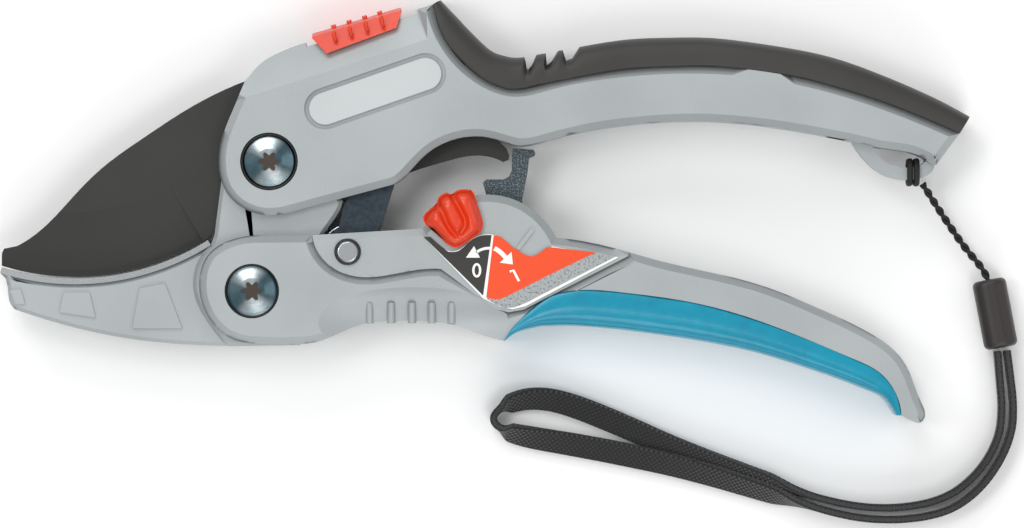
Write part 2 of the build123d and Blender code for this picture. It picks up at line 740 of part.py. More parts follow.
with BuildPart() as lower_handle:
    with BuildSketch():
        add(lower_profile.sketch)
    extrude(amount=HANDLE_THICKNESS)
    # A hollow for the index finger, front and back, with five rounded ribs across it.
    with BuildSketch(Plane(origin=(SCOOP_MIDDLE[0], 0, 0), x_dir=(0, 1, 0), z_dir=(1, 0, 0))):
        with Locations((SCOOP_MIDDLE[1], HANDLE_THICKNESS + SCOOP_RISE)):
            Circle(SCOOP_R)
    revolve(
        axis=Axis((SCOOP_MIDDLE[0], 0, HANDLE_THICKNESS + SCOOP_RISE + SCOOP_SPREAD), (0, 1, 0)),
        mode=Mode.SUBTRACT,
    )
    with BuildSketch(Plane(origin=(SCOOP_MIDDLE[0], 0, 0), x_dir=(0, 1, 0), z_dir=(1, 0, 0))):
        with Locations((SCOOP_MIDDLE[1], -SCOOP_RISE)):
            Circle(SCOOP_R)
    revolve(axis=Axis((SCOOP_MIDDLE[0], 0, -SCOOP_RISE - SCOOP_SPREAD), (0, 1, 0)), mode=Mode.SUBTRACT)
    for x in RIBS:
        with BuildSketch(Plane(origin=(x, -31.2, HANDLE_THICKNESS - 2.3), x_dir=(1, 0, 0), z_dir=(0, -1, -0.12))):
            Circle(RIB_R)
        extrude(amount=4.6)
        with BuildSketch(Plane(origin=(x, -31.2, 2.3), x_dir=(1, 0, 0), z_dir=(0, -1, 0.12))):
            Circle(RIB_R)
        extrude(amount=4.6)
    with BuildSketch(Plane.XY.offset(MID - CORE_HALF)):
        add(lower_core_profile.sketch)
    extrude(amount=2 * CORE_HALF)
    with BuildSketch(Plane.XY.offset(MID + FACE_B)):
        add(recess_profile.sketch)
    extrude(amount=RECESS_DEPTH, mode=Mode.SUBTRACT)
    with BuildSketch(Plane.XY.offset(MID - CHANNEL_HALF)):
        add(lower_gap_profile.sketch)
    extrude(amount=2 * CHANNEL_HALF, mode=Mode.SUBTRACT)
    with BuildSketch(Plane.XY.offset(MID + FACE_B)):
        with Locations(
            ((MARK_LOW[0] + MARK_HIGH[0]) / 2, (MARK_LOW[1] + MARK_HIGH[1]) / 2),
        ):
            SlotCenterToCenter(math.dist(MARK_LOW, MARK_HIGH), 0.9, rotation=52.6)
    extrude(amount=0.4)
    with Locations((*HANDLE_PIVOT, HANDLE_THICKNESS)):
        CounterBoreHole(BOLT_R + SEATED, BOLT_HEAD_R + HANDLE_BOLT_RIM, BOLT_SINK)
    with BuildSketch():
        with Locations(HANDLE_PIVOT):
            Circle(NUT_R + SEATED)
    extrude(amount=NUT_HEIGHT, mode=Mode.SUBTRACT)
    with BuildSketch(Plane.XY.offset(SPINDLE_SPAN[0])):
        with Locations(DIAL_CENTRE):
            Circle(SPINDLE_R + SEATED)
    extrude(amount=SPINDLE_SPAN[1] - SPINDLE_SPAN[0], mode=Mode.SUBTRACT)
    with BuildSketch(Plane.XY.offset(HOOK_PIN_LOW)):
        with Locations(HOOK_PIVOT):
            Circle(HOOK_PIN_R + SEATED)
    extrude(amount=MID - HOOK_PIN_LOW, mode=Mode.SUBTRACT)
    with BuildSketch():
        with Locations(LINK_RIVET):
            Circle(RIVET_R + SEATED)
    extrude(amount=HANDLE_THICKNESS, mode=Mode.SUBTRACT)
    with BuildSketch():
        with Locations(LINK_RIVET):
            Circle(RIVET_SINK_R)
    extrude(amount=RIVET_SINK, mode=Mode.SUBTRACT)
    with BuildSketch(Plane.XY.offset(MID + FACE_B - RIVET_SINK)):
        with Locations(LINK_RIVET):
            Circle(RIVET_SINK_R)
    extrude(amount=RIVET_SINK, mode=Mode.SUBTRACT)
finish(lower_handle, "lower_handle")

with BuildPart() as lower_grip:
    with BuildSketch():
        add(lower_grip_profile.sketch)
    extrude(amount=HANDLE_THICKNESS + GRIP_PROUD)
    with BuildSketch(Plane.XY.offset(MID - CORE_HALF)):
        add(lower_core_profile.sketch)
    extrude(amount=2 * CORE_HALF, mode=Mode.SUBTRACT)
finish(lower_grip, "lower_grip")

DIAL_THICKNESS = 0.4
with BuildPart() as dial_plate:
    with BuildSketch(Plane.XY.offset(MID + FACE_B)):
        with BuildLine():
            Polyline((34.2, -16.7), (47.4, -30.3), (51.0, -32.1), (54.0, -32.7), (56.9, -32.0))
            Polyline((56.9, -32.0), (77.4, -21.2), (62.6, -18.8))
            Spline(
                (62.6, -18.8),
                (58.2, -21.3),
                (54.4, -19.6),
                (51.6, -17.0),
                (48.4, -16.1),
                (44.9, -17.2),
                (42.3, -19.4),
                (39.5, -19.7),
            )
            Line((39.5, -19.7), (34.2, -16.7))
        make_face()
    extrude(amount=DIAL_THICKNESS)
finish(dial_plate, "dial_plate")

WASHER_R = 8.0
WASHER_PLAY = 0.05
with BuildPart() as handle_washers:
    for low in (MID - CHANNEL_HALF, MID + ANVIL_HALF + WASHER_PLAY):
        with BuildSketch(Plane.XY.offset(low)):
            with Locations(HANDLE_PIVOT):
                Circle(WASHER_R)
                Circle(BOLT_R + 0.1, mode=Mode.SUBTRACT)
        extrude(amount=SIDE_GAP - WASHER_PLAY)
finish(handle_washers, "handle_washers")

with BuildPart() as link_rivet:
    with BuildSketch(Plane.XY.offset(RIVET_SINK)):
        with Locations(LINK_RIVET):
            Circle(RIVET_R)
    extrude(amount=MID + FACE_B - 2 * RIVET_SINK)
    with BuildSketch(Plane.XY.offset(RIVET_SINK - RIVET_HEAD_HEIGHT)):
        with Locations(LINK_RIVET):
            Circle(RIVET_HEAD_R)
    extrude(amount=RIVET_HEAD_HEIGHT)
    with BuildSketch(Plane.XY.offset(MID + FACE_B - RIVET_SINK)):
        with Locations(LINK_RIVET):
            Circle(RIVET_HEAD_R)
    extrude(amount=RIVET_HEAD_HEIGHT)
    fillet(link_rivet.edges().group_by(Axis.Z)[-1], radius=0.5)
finish(link_rivet, "link_rivet")

with BuildPart() as selector_spindle:
    with BuildSketch(Plane.XY.offset(SPINDLE_SPAN[0])):
        with Locations(DIAL_CENTRE):
            Circle(SPINDLE_R)
    extrude(amount=SPINDLE_SPAN[1] - SPINDLE_SPAN[0])
finish(selector_spindle, "selector_spindle")

with BuildPart() as hook_pin:
    with BuildSketch(Plane.XY.offset(HOOK_PIN_LOW)):
        with Locations(HOOK_PIVOT):
            Circle(HOOK_PIN_R)
    extrude(amount=MID + HOOK_HALF - HOOK_PIN_LOW)
finish(hook_pin, "hook_pin")

# ---------------------------------------------------------------- return spring
SPRING_R = 5.85
SPRING_WIRE = 1.0
SPRING_TURNS = 2
SPRING_HEIGHT = 2.3
SPRING_START = 150.0
LEG_UP = 3.0
LEG_DOWN = 1.3

with BuildPart() as spring_about_z:
    with BuildLine() as coil:
        Helix(pitch=SPRING_HEIGHT / SPRING_TURNS, height=SPRING_HEIGHT, radius=SPRING_R)
    with BuildSketch(Plane(origin=coil.line @ 0, x_dir=(0, 0, 1), z_dir=coil.line % 0)):
        Circle(SPRING_WIRE / 2)
    sweep(path=coil.line, is_frenet=True)
    with BuildSketch(Plane(origin=coil.line @ 0, x_dir=(0, 0, 1), z_dir=(0.35, -1, 0))):
        Circle(SPRING_WIRE / 2)
    extrude(amount=LEG_UP)
    with BuildSketch(Plane(origin=coil.line @ 1, x_dir=(0, 0, 1), z_dir=(-0.3, 1, 0))):
        Circle(SPRING_WIRE / 2)
    extrude(amount=LEG_DOWN)

with BuildPart() as return_spring:
    with Locations(Location((*LINK_RIVET, MID - SPRING_HEIGHT / 2), (0, 0, SPRING_START))):
        add(spring_about_z.part)
finish(return_spring, "return_spring")

# ---------------------------------------------------------------- ratchet link
LINK_HEAD_R = 2.9
LINK_HEAD_HEIGHT = 0.9
SLEEVE_R = 3.3
LINK_FOOT = 5.6

with BuildSketch() as link_profile:
    with BuildLine():
        Spline((16.5, -9.6), (16.9, 4.0), (17.9, 10.9), (21.5, 13.2), (26.0, 11.0), (28.5, 4.0), (27.6, -5.2))
        Line((27.6, -5.2), (22.9, -20.0))
        Line((22.9, -20.0), (14.0, -20.0))
        Line((14.0, -20.0), (16.5, -9.6))
    make_face()
    with Locations(LINK_RIVET):
        Circle(LINK_FOOT)

with BuildPart() as link_plates:
    for low in (MID - LINK_OUTER, MID + LINK_INNER):
        with BuildSketch(Plane.XY.offset(low)):
            add(link_profile.sketch)
        extrude(amount=LINK_PLATE)
    with BuildSketch(Plane.XY.offset(MID - LINK_OUTER)):
        with Locations(LINK_RIVET):
            Circle(SLEEVE_R)
    extrude(amount=2 * LINK_OUTER)
    with BuildSketch():
        with Locations(LINK_RIVET):
            Circle(RIVET_R + RUNNING)
        with Locations(LINK_PIN):
            Circle(PIN_R + SEATED)
    extrude(amount=HANDLE_THICKNESS, mode=Mode.SUBTRACT)
finish(link_plates, "link_plates")

with BuildPart() as link_pin:
    with BuildSketch(Plane.XY.offset(MID - LINK_OUTER)):
        with Locations(LINK_PIN):
            Circle(PIN_R)
    extrude(amount=2 * LINK_OUTER)
    for low in (MID - LINK_OUTER - LINK_HEAD_HEIGHT, MID + LINK_OUTER):
        with BuildSketch(Plane.XY.offset(low)):
            with Locations(LINK_PIN):
                Circle(LINK_HEAD_R)
        extrude(amount=LINK_HEAD_HEIGHT)
finish(link_pin, "link_pin")

# ---------------------------------------------------------------- force selector
LEVER_LOW = 12.4
LEVER_THICKNESS = 2.0
LEVER_ANGLE = 120.5
LEVER_LENGTH = 19.6
LEVER_WIDTH = 9.0
LEVER_HUB_R = 6.0
KNOB_RIM_R = DOME_R + SIDE_GAP
KNOB_LOW = HANDLE_THICKNESS + SIDE_GAP
KNOB_HIGH = 22.6

with BuildSketch() as knob_profile:
    with BuildLine():
        Spline((33.9, -13.2), (34.6, -11.4), (36.9, -8.4), (39.3, -6.4), (42.9, -5.9), (44.7, -6.7))
        Spline((44.7, -6.7), (47.4, -13.6), (46.9, -15.6))
        Polyline((46.9, -15.6), (41.1, -19.2), (34.6, -14.5), (33.9, -13.2))
    make_face()

with BuildPart() as selector_lever:
    with BuildSketch(Plane.XY.offset(LEVER_LOW)):
        with Locations(DIAL_CENTRE):
            Circle(LEVER_HUB_R)
        with Locations(Location(polar(DIAL_CENTRE, LEVER_LENGTH / 2, LEVER_ANGLE), LEVER_ANGLE)):
            Rectangle(LEVER_LENGTH, LEVER_WIDTH)
        with Locations(DIAL_CENTRE):
            Circle(SPINDLE_R + RUNNING, mode=Mode.SUBTRACT)
    extrude(amount=LEVER_THICKNESS)
finish(selector_lever, "selector_lever")

with BuildPart() as selector_knob:
    with BuildSketch(Plane.XY.offset(LEVER_LOW + LEVER_THICKNESS)):
        add(knob_profile.sketch)
        with Locations(DIAL_CENTRE):
            Circle(KNOB_RIM_R, mode=Mode.SUBTRACT)
    extrude(amount=KNOB_LOW - LEVER_LOW - LEVER_THICKNESS)
    with BuildSketch(Plane.XY.offset(KNOB_LOW)):
        add(knob_profile.sketch)
    extrude(amount=KNOB_HIGH - KNOB_LOW)
finish(selector_knob, "selector_knob")

HOOK_BOSS_R = 3.2
with BuildPart() as tail_hook:
    with BuildSketch(Plane.XY.offset(MID - HOOK_HALF)):
        with BuildLine():
            Polyline(
                (54.0, 3.0),
                (58.6, 2.7),
                (59.0, 1.9),
                (58.8, 1.3),
                (57.6, 0.8),
                (57.3, -2.2),
                (56.1, -8.3),
                (55.8, -15.0),
                (49.6, -15.0),
                (48.0, -7.2),
                (47.3, -4.6),
                (48.2, -3.9),
                (52.0, -3.9),
                (53.1, -3.3),
                (53.75, -1.9),
                (53.75, 0.9),
                close=True,
            )
        make_face()
        with Locations(HOOK_PIVOT):
            Circle(HOOK_BOSS_R)
            Circle(HOOK_PIN_R + RUNNING, mode=Mode.SUBTRACT)
    extrude(amount=2 * HOOK_HALF)
finish(tail_hook, "tail_hook")

# ---------------------------------------------------------------- lock slider on the roof
SADDLE_TOP = 1.5
RIB_RISE = 0.6
RIB_RUNS = (6.4, 10.0, 13.6, 17.1)
NECK_RUN = (7.0, 15.0)  # from and to, along the track
NECK_HALF = SLOT_HALF - 0.4
NECK_LOW = -5.0
LOCK_LOW = -10.9

with BuildPart() as lock_slider:
    with BuildSketch(section_plane(TRACK_START, TOP_EDGE_ANGLE)):
        with BuildLine():
            Polyline(
                (SADDLE_TOP, 0.0),
                (SADDLE_TOP, 4.6),
                (0.8, 6.4),
                (-4.0, 9.2),
                (-4.0, 8.1),
                (-0.65, 6.25),
                (-0.65, 0.0),
                close=True,
            )
        make_face()
        mirror(about=Plane.XZ)
    extrude(amount=30.0)
    for run in RIB_RUNS:
        with BuildSketch(section_plane(TRACK_START, TOP_EDGE_ANGLE).offset(run)):
            with Locations((SADDLE_TOP - 0.4 + RIB_RISE / 2, 0)):
                Rectangle(RIB_RISE + 0.8, 9.2)
        extrude(amount=1.1)
    with BuildSketch():
        with BuildLine():
            Polyline((9.5, 27.3), (12.7, 23.9), (28.2, 29.6), (29.3, 33.6), (28.6, 36.0), (9.4, 30.6), close=True)
        make_face()
    extrude(amount=HANDLE_THICKNESS, mode=Mode.INTERSECT)
    with BuildSketch(section_plane(TRACK_START, TOP_EDGE_ANGLE).offset(NECK_RUN[0])):
        with Locations((NECK_LOW / 2, 0)):
            Rectangle(-NECK_LOW, 2 * NECK_HALF)
    extrude(amount=NECK_RUN[1] - NECK_RUN[0])
finish(lock_slider, "lock_slider")

with BuildPart() as lock_bolt:
    with BuildSketch(section_plane(TRACK_START, TOP_EDGE_ANGLE).offset(NECK_RUN[0])):
        with Locations(((NECK_LOW + LOCK_LOW) / 2, 0)):
            Rectangle(NECK_LOW - LOCK_LOW, 2 * NECK_HALF)
    extrude(amount=NECK_RUN[1] - NECK_RUN[0])
finish(lock_bolt, "lock_bolt")

# ---------------------------------------------------------------- wrist lanyard


def corner_radii(points):
    """Bend radius at every inner point: 0.45 of the shorter run beside it, over the half turn."""
    radii = []
    for before, here, after in zip(points, points[1:], points[2:]):
        run_in = Vector(*here) - Vector(*before)
        run_out = Vector(*after) - Vector(*here)
        half_turn = math.radians(run_in.get_angle(run_out) / 2)
        radii.append(0.45 * min(run_in.length, run_out.length) / math.tan(half_turn))
    return radii


STRING_ROUTE = [
    (145.3, -4.9, 5.2),
    (147.9, -8.9, 3.4),
    (151.2, -13.9, 2.2),
    (155.0, -19.4, 2.4),
    (159.65, -24.8, 3.75),
    (160.75, -30.0, 3.75),
    (161.5, -34.0, 3.85),
]
STRAP_ROUTE = [
    (162.0, -42.2, 3.2),
    (162.5, -48.6, 3.0),
    (163.1, -55.0, 2.85),
    (162.3, -61.8, 2.8),
    (158.0, -69.2, 2.9),
    (150.6, -75.2, 2.8),
    (139.1, -77.4, 2.9),
    (127.1, -76.4, 2.8),
    (111.6, -71.6, 2.7),
    (92.0, -64.7, 2.1),
    (76.9, -58.0, 1.5),
    (65.8, -53.6, 1.7),
    (58.7, -52.4, 2.2),
    (52.7, -53.8, 2.7),
    (49.6, -56.2, 2.8),
    (49.8, -58.4, 2.8),
    (52.9, -60.2, 2.7),
    (58.0, -61.4, 2.2),
    (67.0, -62.9, 1.7),
    (78.2, -65.0, 1.5),
    (93.8, -68.4, 2.1),
    (112.5, -74.2, 2.7),
    (127.8, -79.0, 2.8),
    (139.1, -80.0, 2.9),
    (150.2, -78.4, 2.8),
    (157.1, -74.0, 2.9),
    (162.2, -67.6, 2.8),
    (165.3, -60.4, 2.85),
    (165.6, -54.0, 3.0),
    (164.9, -48.0, 3.1),
    (164.1, -42.0, 3.2),
]
BEAD_START = (160.0, -26.2, 3.75)
BEAD_END = (162.9, -41.3, 3.75)
BEAD_BORE_R = 1.3
KNOT_WIRE = 1.3
KNOT_AT = (142.1, 143.6)
KNOT_Y = (-4.8, 0.15)
KNOT_REACH = 4.9  # either side of the mid-plane

with BuildPart() as lanyard_knot:
    for x in KNOT_AT:
        with BuildLine() as ring:
            FilletPolyline(
                (x, KNOT_Y[0], MID + KNOT_REACH),
                (x, KNOT_Y[1], MID + KNOT_REACH),
                (x, KNOT_Y[1], MID - KNOT_REACH),
                (x, KNOT_Y[0], MID - KNOT_REACH),
                close=True,
                radius=1.4,
            )
        with BuildSketch(Plane(origin=ring.line @ 0, z_dir=ring.line % 0)):
            Circle(KNOT_WIRE / 2)
        sweep(path=ring.line)
finish(lanyard_knot, "lanyard_knot")

with BuildPart() as lanyard_string:
    with BuildLine() as string_line:
        FilletPolyline(*STRING_ROUTE, radius=corner_radii(STRING_ROUTE))
    with BuildSketch(Plane(origin=string_line.line @ 0, z_dir=string_line.line % 0)):
        Circle(CORD_D / 2)
    sweep(path=string_line.line)
finish(lanyard_string, "lanyard_string")
print("string", lanyard_string.part.volume / (math.pi * CORD_D**2 / 4), corner_radii(STRING_ROUTE))

with BuildPart() as lanyard_strap:
    with BuildLine() as strap_line:
        FilletPolyline(*STRAP_ROUTE, radius=corner_radii(STRAP_ROUTE))
    with BuildSketch(Plane(origin=strap_line.line @ 0, z_dir=strap_line.line % 0)):
        Circle(CORD_D / 2)
    sweep(path=strap_line.line)
finish(lanyard_strap, "lanyard_strap")
print("strap", lanyard_strap.part.volume / (math.pi * CORD_D**2 / 4), corner_radii(STRAP_ROUTE))

BEAD_WAY = Vector(*BEAD_END) - Vector(*BEAD_START)
with BuildPart() as lanyard_bead:
    with BuildSketch(Plane(origin=BEAD_START, x_dir=(0, 0, 1), z_dir=BEAD_WAY)):
        RectangleRounded(BEAD_WIDTH, BEAD_WIDTH, BEAD_WIDTH / 2 - 0.6)
    extrude(amount=BEAD_WAY.length)
    fillet(lanyard_bead.edges().filter_by(GeomType.LINE, reverse=True).group_by(Axis.Y)[0], radius=1.2)
    fillet(lanyard_bead.edges().filter_by(GeomType.LINE, reverse=True).group_by(Axis.Y)[-1], radius=1.2)
    with BuildSketch(Plane(origin=BEAD_START, x_dir=(0, 0, 1), z_dir=BEAD_WAY)):
        Circle(BEAD_BORE_R)
    extrude(amount=BEAD_WAY.length, mode=Mode.SUBTRACT)
finish(lanyard_bead, "lanyard_bead")
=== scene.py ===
"""Ratchet anvil pruning shears with a wrist lanyard: finishes, soft parts, light and camera."""

import json
import logging
import math
from dataclasses import dataclass, field
from enum import Enum
from typing import Iterable, Sequence

import bmesh
import bpy
from mathutils import Euler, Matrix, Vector

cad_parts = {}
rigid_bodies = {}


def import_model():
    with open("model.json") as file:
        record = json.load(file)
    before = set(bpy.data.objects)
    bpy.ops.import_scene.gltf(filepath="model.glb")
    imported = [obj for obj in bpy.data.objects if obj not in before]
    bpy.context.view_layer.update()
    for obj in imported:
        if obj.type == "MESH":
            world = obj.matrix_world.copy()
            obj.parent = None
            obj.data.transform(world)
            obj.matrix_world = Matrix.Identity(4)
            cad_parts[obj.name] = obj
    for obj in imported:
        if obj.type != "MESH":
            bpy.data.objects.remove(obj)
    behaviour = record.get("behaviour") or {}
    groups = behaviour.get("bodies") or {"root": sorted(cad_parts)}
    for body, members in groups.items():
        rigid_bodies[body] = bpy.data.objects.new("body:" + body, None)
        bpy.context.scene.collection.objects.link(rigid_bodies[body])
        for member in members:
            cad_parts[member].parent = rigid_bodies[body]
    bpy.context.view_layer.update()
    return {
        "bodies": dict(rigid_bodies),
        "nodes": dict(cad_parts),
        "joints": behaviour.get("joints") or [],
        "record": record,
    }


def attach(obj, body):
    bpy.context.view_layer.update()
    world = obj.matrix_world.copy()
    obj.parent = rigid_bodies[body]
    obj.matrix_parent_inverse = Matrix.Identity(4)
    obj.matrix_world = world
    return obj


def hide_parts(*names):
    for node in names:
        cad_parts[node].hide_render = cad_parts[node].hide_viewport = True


LOG = logging.getLogger("pruning_shears")
MM = 0.001
# Vertices nearer than this are welded, in metres.
WELD = 1e-6
# Seams between the castings and their moulded covers, in millimetres.
UPPER_SEAM = (
    (36.2, 34.75), (38.0, 28.6), (41.0, 24.0), (46.5, 18.8), (51.0, 16.5), (54.6, 15.9), (61.6, 17.3),
    (77.6, 20.2), (88.7, 20.9), (99.8, 20.9), (115.6, 18.9), (126.2, 16.2), (137.1, 12.7), (147.8, 8.4),
    (152.9, 6.2),
)
LOWER_SEAM = (
    (52.0, -39.7), (54.2, -36.4), (58.4, -32.5), (62.4, -29.8), (66.4, -28.7), (70.3, -28.4),
    (78.4, -29.0), (86.4, -30.1), (94.2, -31.3), (103.0, -33.6), (112.4, -36.7), (121.1, -40.1),
    (129.6, -43.8), (135.0, -46.6), (138.6, -51.0), (140.0, -56.2),
)
Flat = tuple[float, float]
Point = tuple[float, float, float]


class Body(Enum):
    """The rigid bodies that the dressed pieces ride on."""

    FRAME = "frame"
    SQUEEZE = "squeeze_handle"
    SELECTOR = "selector"
    LOCK = "lock"


# ---- small helpers


def linear(hex_colour: str) -> tuple[float, float, float, float]:
    """Turn an sRGB hex value to linear light.

    Args:
        hex_colour: Six hex digits with a leading hash.

    Returns:
        Linear red, green, blue and full alpha.
    """
    parts = [int(hex_colour[i : i + 2], 16) / 255 for i in (1, 3, 5)]
    red, green, blue = [c / 12.92 if c <= 0.04045 else ((c + 0.055) / 1.055) ** 2.4 for c in parts]
    return (red, green, blue, 1.0)


def metres(points: Iterable[Sequence[float]]) -> list[Vector]:
    """Turn millimetre points to vectors in metres."""
    return [Vector(p) * MM for p in points]


def node(tree: bpy.types.NodeTree, kind: str, settings: dict | None = None, links: dict | None = None):
    """Add one shader node.

    Args:
        tree: Node tree to add to.
        kind: Blender's node type.
        settings: Attributes by name, and socket values by index or socket name.
        links: Output sockets to join, by input index or name.

    Returns:
        The new node.
    """
    made = tree.nodes.new(kind)
    for key, value in (settings or {}).items():
        if isinstance(key, int) or key in made.inputs.keys():
            made.inputs[key].default_value = value
        else:
            setattr(made, key, value)
    for key, socket in (links or {}).items():
        tree.links.new(socket, made.inputs[key])
    return made


def maths(tree: bpy.types.NodeTree, operation: str, *terms):
    """Add one math node.

    Args:
        tree: Node tree to add to.
        operation: Blender's name for the operation.
        terms: A number or an output socket for each input.

    Returns:
        The socket of the result.
    """
    values = {i: term for i, term in enumerate(terms) if isinstance(term, (int, float))}
    sockets = {i: term for i, term in enumerate(terms) if i not in values}
    return node(tree, "ShaderNodeMath", {"operation": operation, **values}, sockets).outputs[0]


def add_piece(
    name: str, bm: bmesh.types.BMesh, body: Body, finish: bpy.types.Material
) -> bpy.types.Object:
    """Store a finished bmesh as an object that rides on a body.

    Args:
        name: Object name.
        bm: The mesh, in metres, in the shared frame. It is freed here.
        body: Body to ride on.
        finish: Material.

    Returns:
        The new object.
    """
    mesh = bpy.data.meshes.new(name)
    bm.to_mesh(mesh)
    bm.free()
    if "custom_normal" in mesh.attributes:
        mesh.attributes.remove(mesh.attributes["custom_normal"])
    piece = bpy.data.objects.new(name, mesh)
    bpy.context.scene.collection.objects.link(piece)
    mesh.materials.append(finish)
    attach(piece, body.value)
    LOG.info("%s: %d faces", name, len(mesh.polygons))
    return piece


def shade(piece: bpy.types.Object, degrees: float) -> None:
    """Shade a mesh smooth with sharp edges kept.

    Args:
        piece: Object to shade.
        degrees: Edges that turn more than this stay sharp.
    """
    for polygon in piece.data.polygons:
        polygon.use_smooth = True
    bm = bmesh.new()
    bm.from_mesh(piece.data)
    for edge in bm.edges:
        if len(edge.link_faces) == 2:
            edge.smooth = edge.calc_face_angle(0.0) < math.radians(degrees)
    bm.to_mesh(piece.data)
    bm.free()


def outline(points: Sequence[Sequence[float]], height: float) -> bmesh.types.BMesh:
    """Start a bmesh with one flat face, facing up.

    Args:
        points: Corners in millimetres, in the rest plane.
        height: Height in millimetres.

    Returns:
        A bmesh with one face.
    """
    bm = bmesh.new()
    face = bm.faces.new([bm.verts.new((x * MM, y * MM, height * MM)) for x, y in points])
    face.normal_update()
    if face.normal.z < 0:
        face.normal_flip()
    return bm


def raise_slab(bm: bmesh.types.BMesh, thickness: float) -> None:
    """Give the flat faces of a bmesh a thickness.

    Args:
        bm: A bmesh of flat faces that face up.
        thickness: Millimetres.
    """
    top = bmesh.ops.extrude_face_region(bm, geom=bm.faces[:])["geom"]
    raised = [g for g in top if isinstance(g, bmesh.types.BMVert)]
    bmesh.ops.translate(bm, verts=raised, vec=(0, 0, thickness * MM))
    bmesh.ops.recalc_face_normals(bm, faces=bm.faces)


def smooth_line(points: Sequence[Sequence[float]], steps: int, closed: bool = False) -> list[Flat]:
    """Run a Catmull-Rom line through flat points.

    Args:
        points: Points in millimetres.
        steps: Steps between neighbours.
        closed: Whether the line closes on itself.

    Returns:
        The finer points.
    """
    count = len(points)
    line: list[Flat] = []
    for i in range(count if closed else count - 1):
        around = [j % count if closed else min(max(j, 0), count - 1) for j in (i - 1, i, i + 1, i + 2)]
        p0, p1, p2, p3 = (Vector(points[j]) for j in around)
        for step in range(steps):
            t = step / steps
            square = (2 * p0 - 5 * p1 + 4 * p2 - p3) * t * t
            cube = (3 * p1 - p0 - 3 * p2 + p3) * t**3
            p = 0.5 * (2 * p1 + (p2 - p0) * t + square + cube)
            line.append((p.x, p.y))
    if not closed:
        line.append(tuple(points[-1]))
    return line


# ---- finishes


@dataclass(frozen=True)
class Finish:
    """Base of every finish: a principled shader on Object coordinates."""

    CLOUDS_PER_M = 45.0
    COAT_ROUGHNESS = 0.08

    name: str
    colour: str
    shade_colour: str
    roughness: float
    grain_mm: float
    metallic: float = 0.0
    bump: float = 0.1
    ior: float | None = None
    coat: float = 0.0

    def material(self) -> bpy.types.Material:
        """Build the material.

        Returns:
            The new material.
        """
        made = bpy.data.materials.new(self.name)
        made.use_nodes = True
        tree = made.node_tree
        shader = tree.nodes["Principled BSDF"]
        shader.inputs["Metallic"].default_value = self.metallic
        if self.ior:
            shader.inputs["IOR"].default_value = self.ior
        if self.coat:
            shader.inputs["Coat Weight"].default_value = self.coat
            shader.inputs["Coat Roughness"].default_value = self.COAT_ROUGHNESS
        self.dress(tree, shader)
        return made

    def dress(self, tree: bpy.types.NodeTree, shader: bpy.types.ShaderNode) -> None:
        """Add colour, roughness and bump.

        Args:
            tree: Node tree of the material.
            shader: Its principled shader.
        """
        place = node(tree, "ShaderNodeTexCoord")
        where = {"Vector": place.outputs["Object"]}
        grain = node(tree, "ShaderNodeTexNoise", {"Scale": 1 / (self.grain_mm * MM), "Detail": 4.0}, where)
        cloud = node(tree, "ShaderNodeTexNoise", {"Scale": self.CLOUDS_PER_M, "Detail": 2.0}, where)
        mix = node(
            tree,
            "ShaderNodeMix",
            {"data_type": "RGBA", 6: linear(self.colour), 7: linear(self.shade_colour)},
            {0: self.spread(tree, grain.outputs["Fac"], cloud.outputs["Fac"])},
        )
        rough = node(
            tree,
            "ShaderNodeMapRange",
            {3: self.roughness * 0.85, 4: min(1.0, self.roughness * 1.2)},
            {0: cloud.outputs["Fac"]},
        )
        relief = node(
            tree,
            "ShaderNodeBump",
            {"Strength": self.bump, "Distance": self.grain_mm * MM * 0.5},
            {"Height": grain.outputs["Fac"]},
        )
        tree.links.new(mix.outputs[2], shader.inputs["Base Color"])
        tree.links.new(rough.outputs[0], shader.inputs["Roughness"])
        tree.links.new(relief.outputs[0], shader.inputs["Normal"])

    def spread(self, tree: bpy.types.NodeTree, grain, cloud):
        """Join the fine grain and the broad cloud into one blend value.

        Args:
            tree: Node tree of the material.
            grain: Fine noise socket.
            cloud: Broad noise socket.

        Returns:
            The socket of the blend.
        """
        both = maths(tree, "MULTIPLY", grain, cloud)
        return node(tree, "ShaderNodeMapRange", {1: 0.12, 2: 0.42}, {0: both}).outputs[0]


@dataclass(frozen=True)
class Speckled(Finish):
    """Sintered or mottled surface: crisp light flecks on a dark ground."""

    def spread(self, tree: bpy.types.NodeTree, grain, cloud):
        """Turn the grain to crisp flecks."""
        return node(tree, "ShaderNodeMapRange", {1: 0.5, 2: 0.66}, {0: grain}).outputs[0]


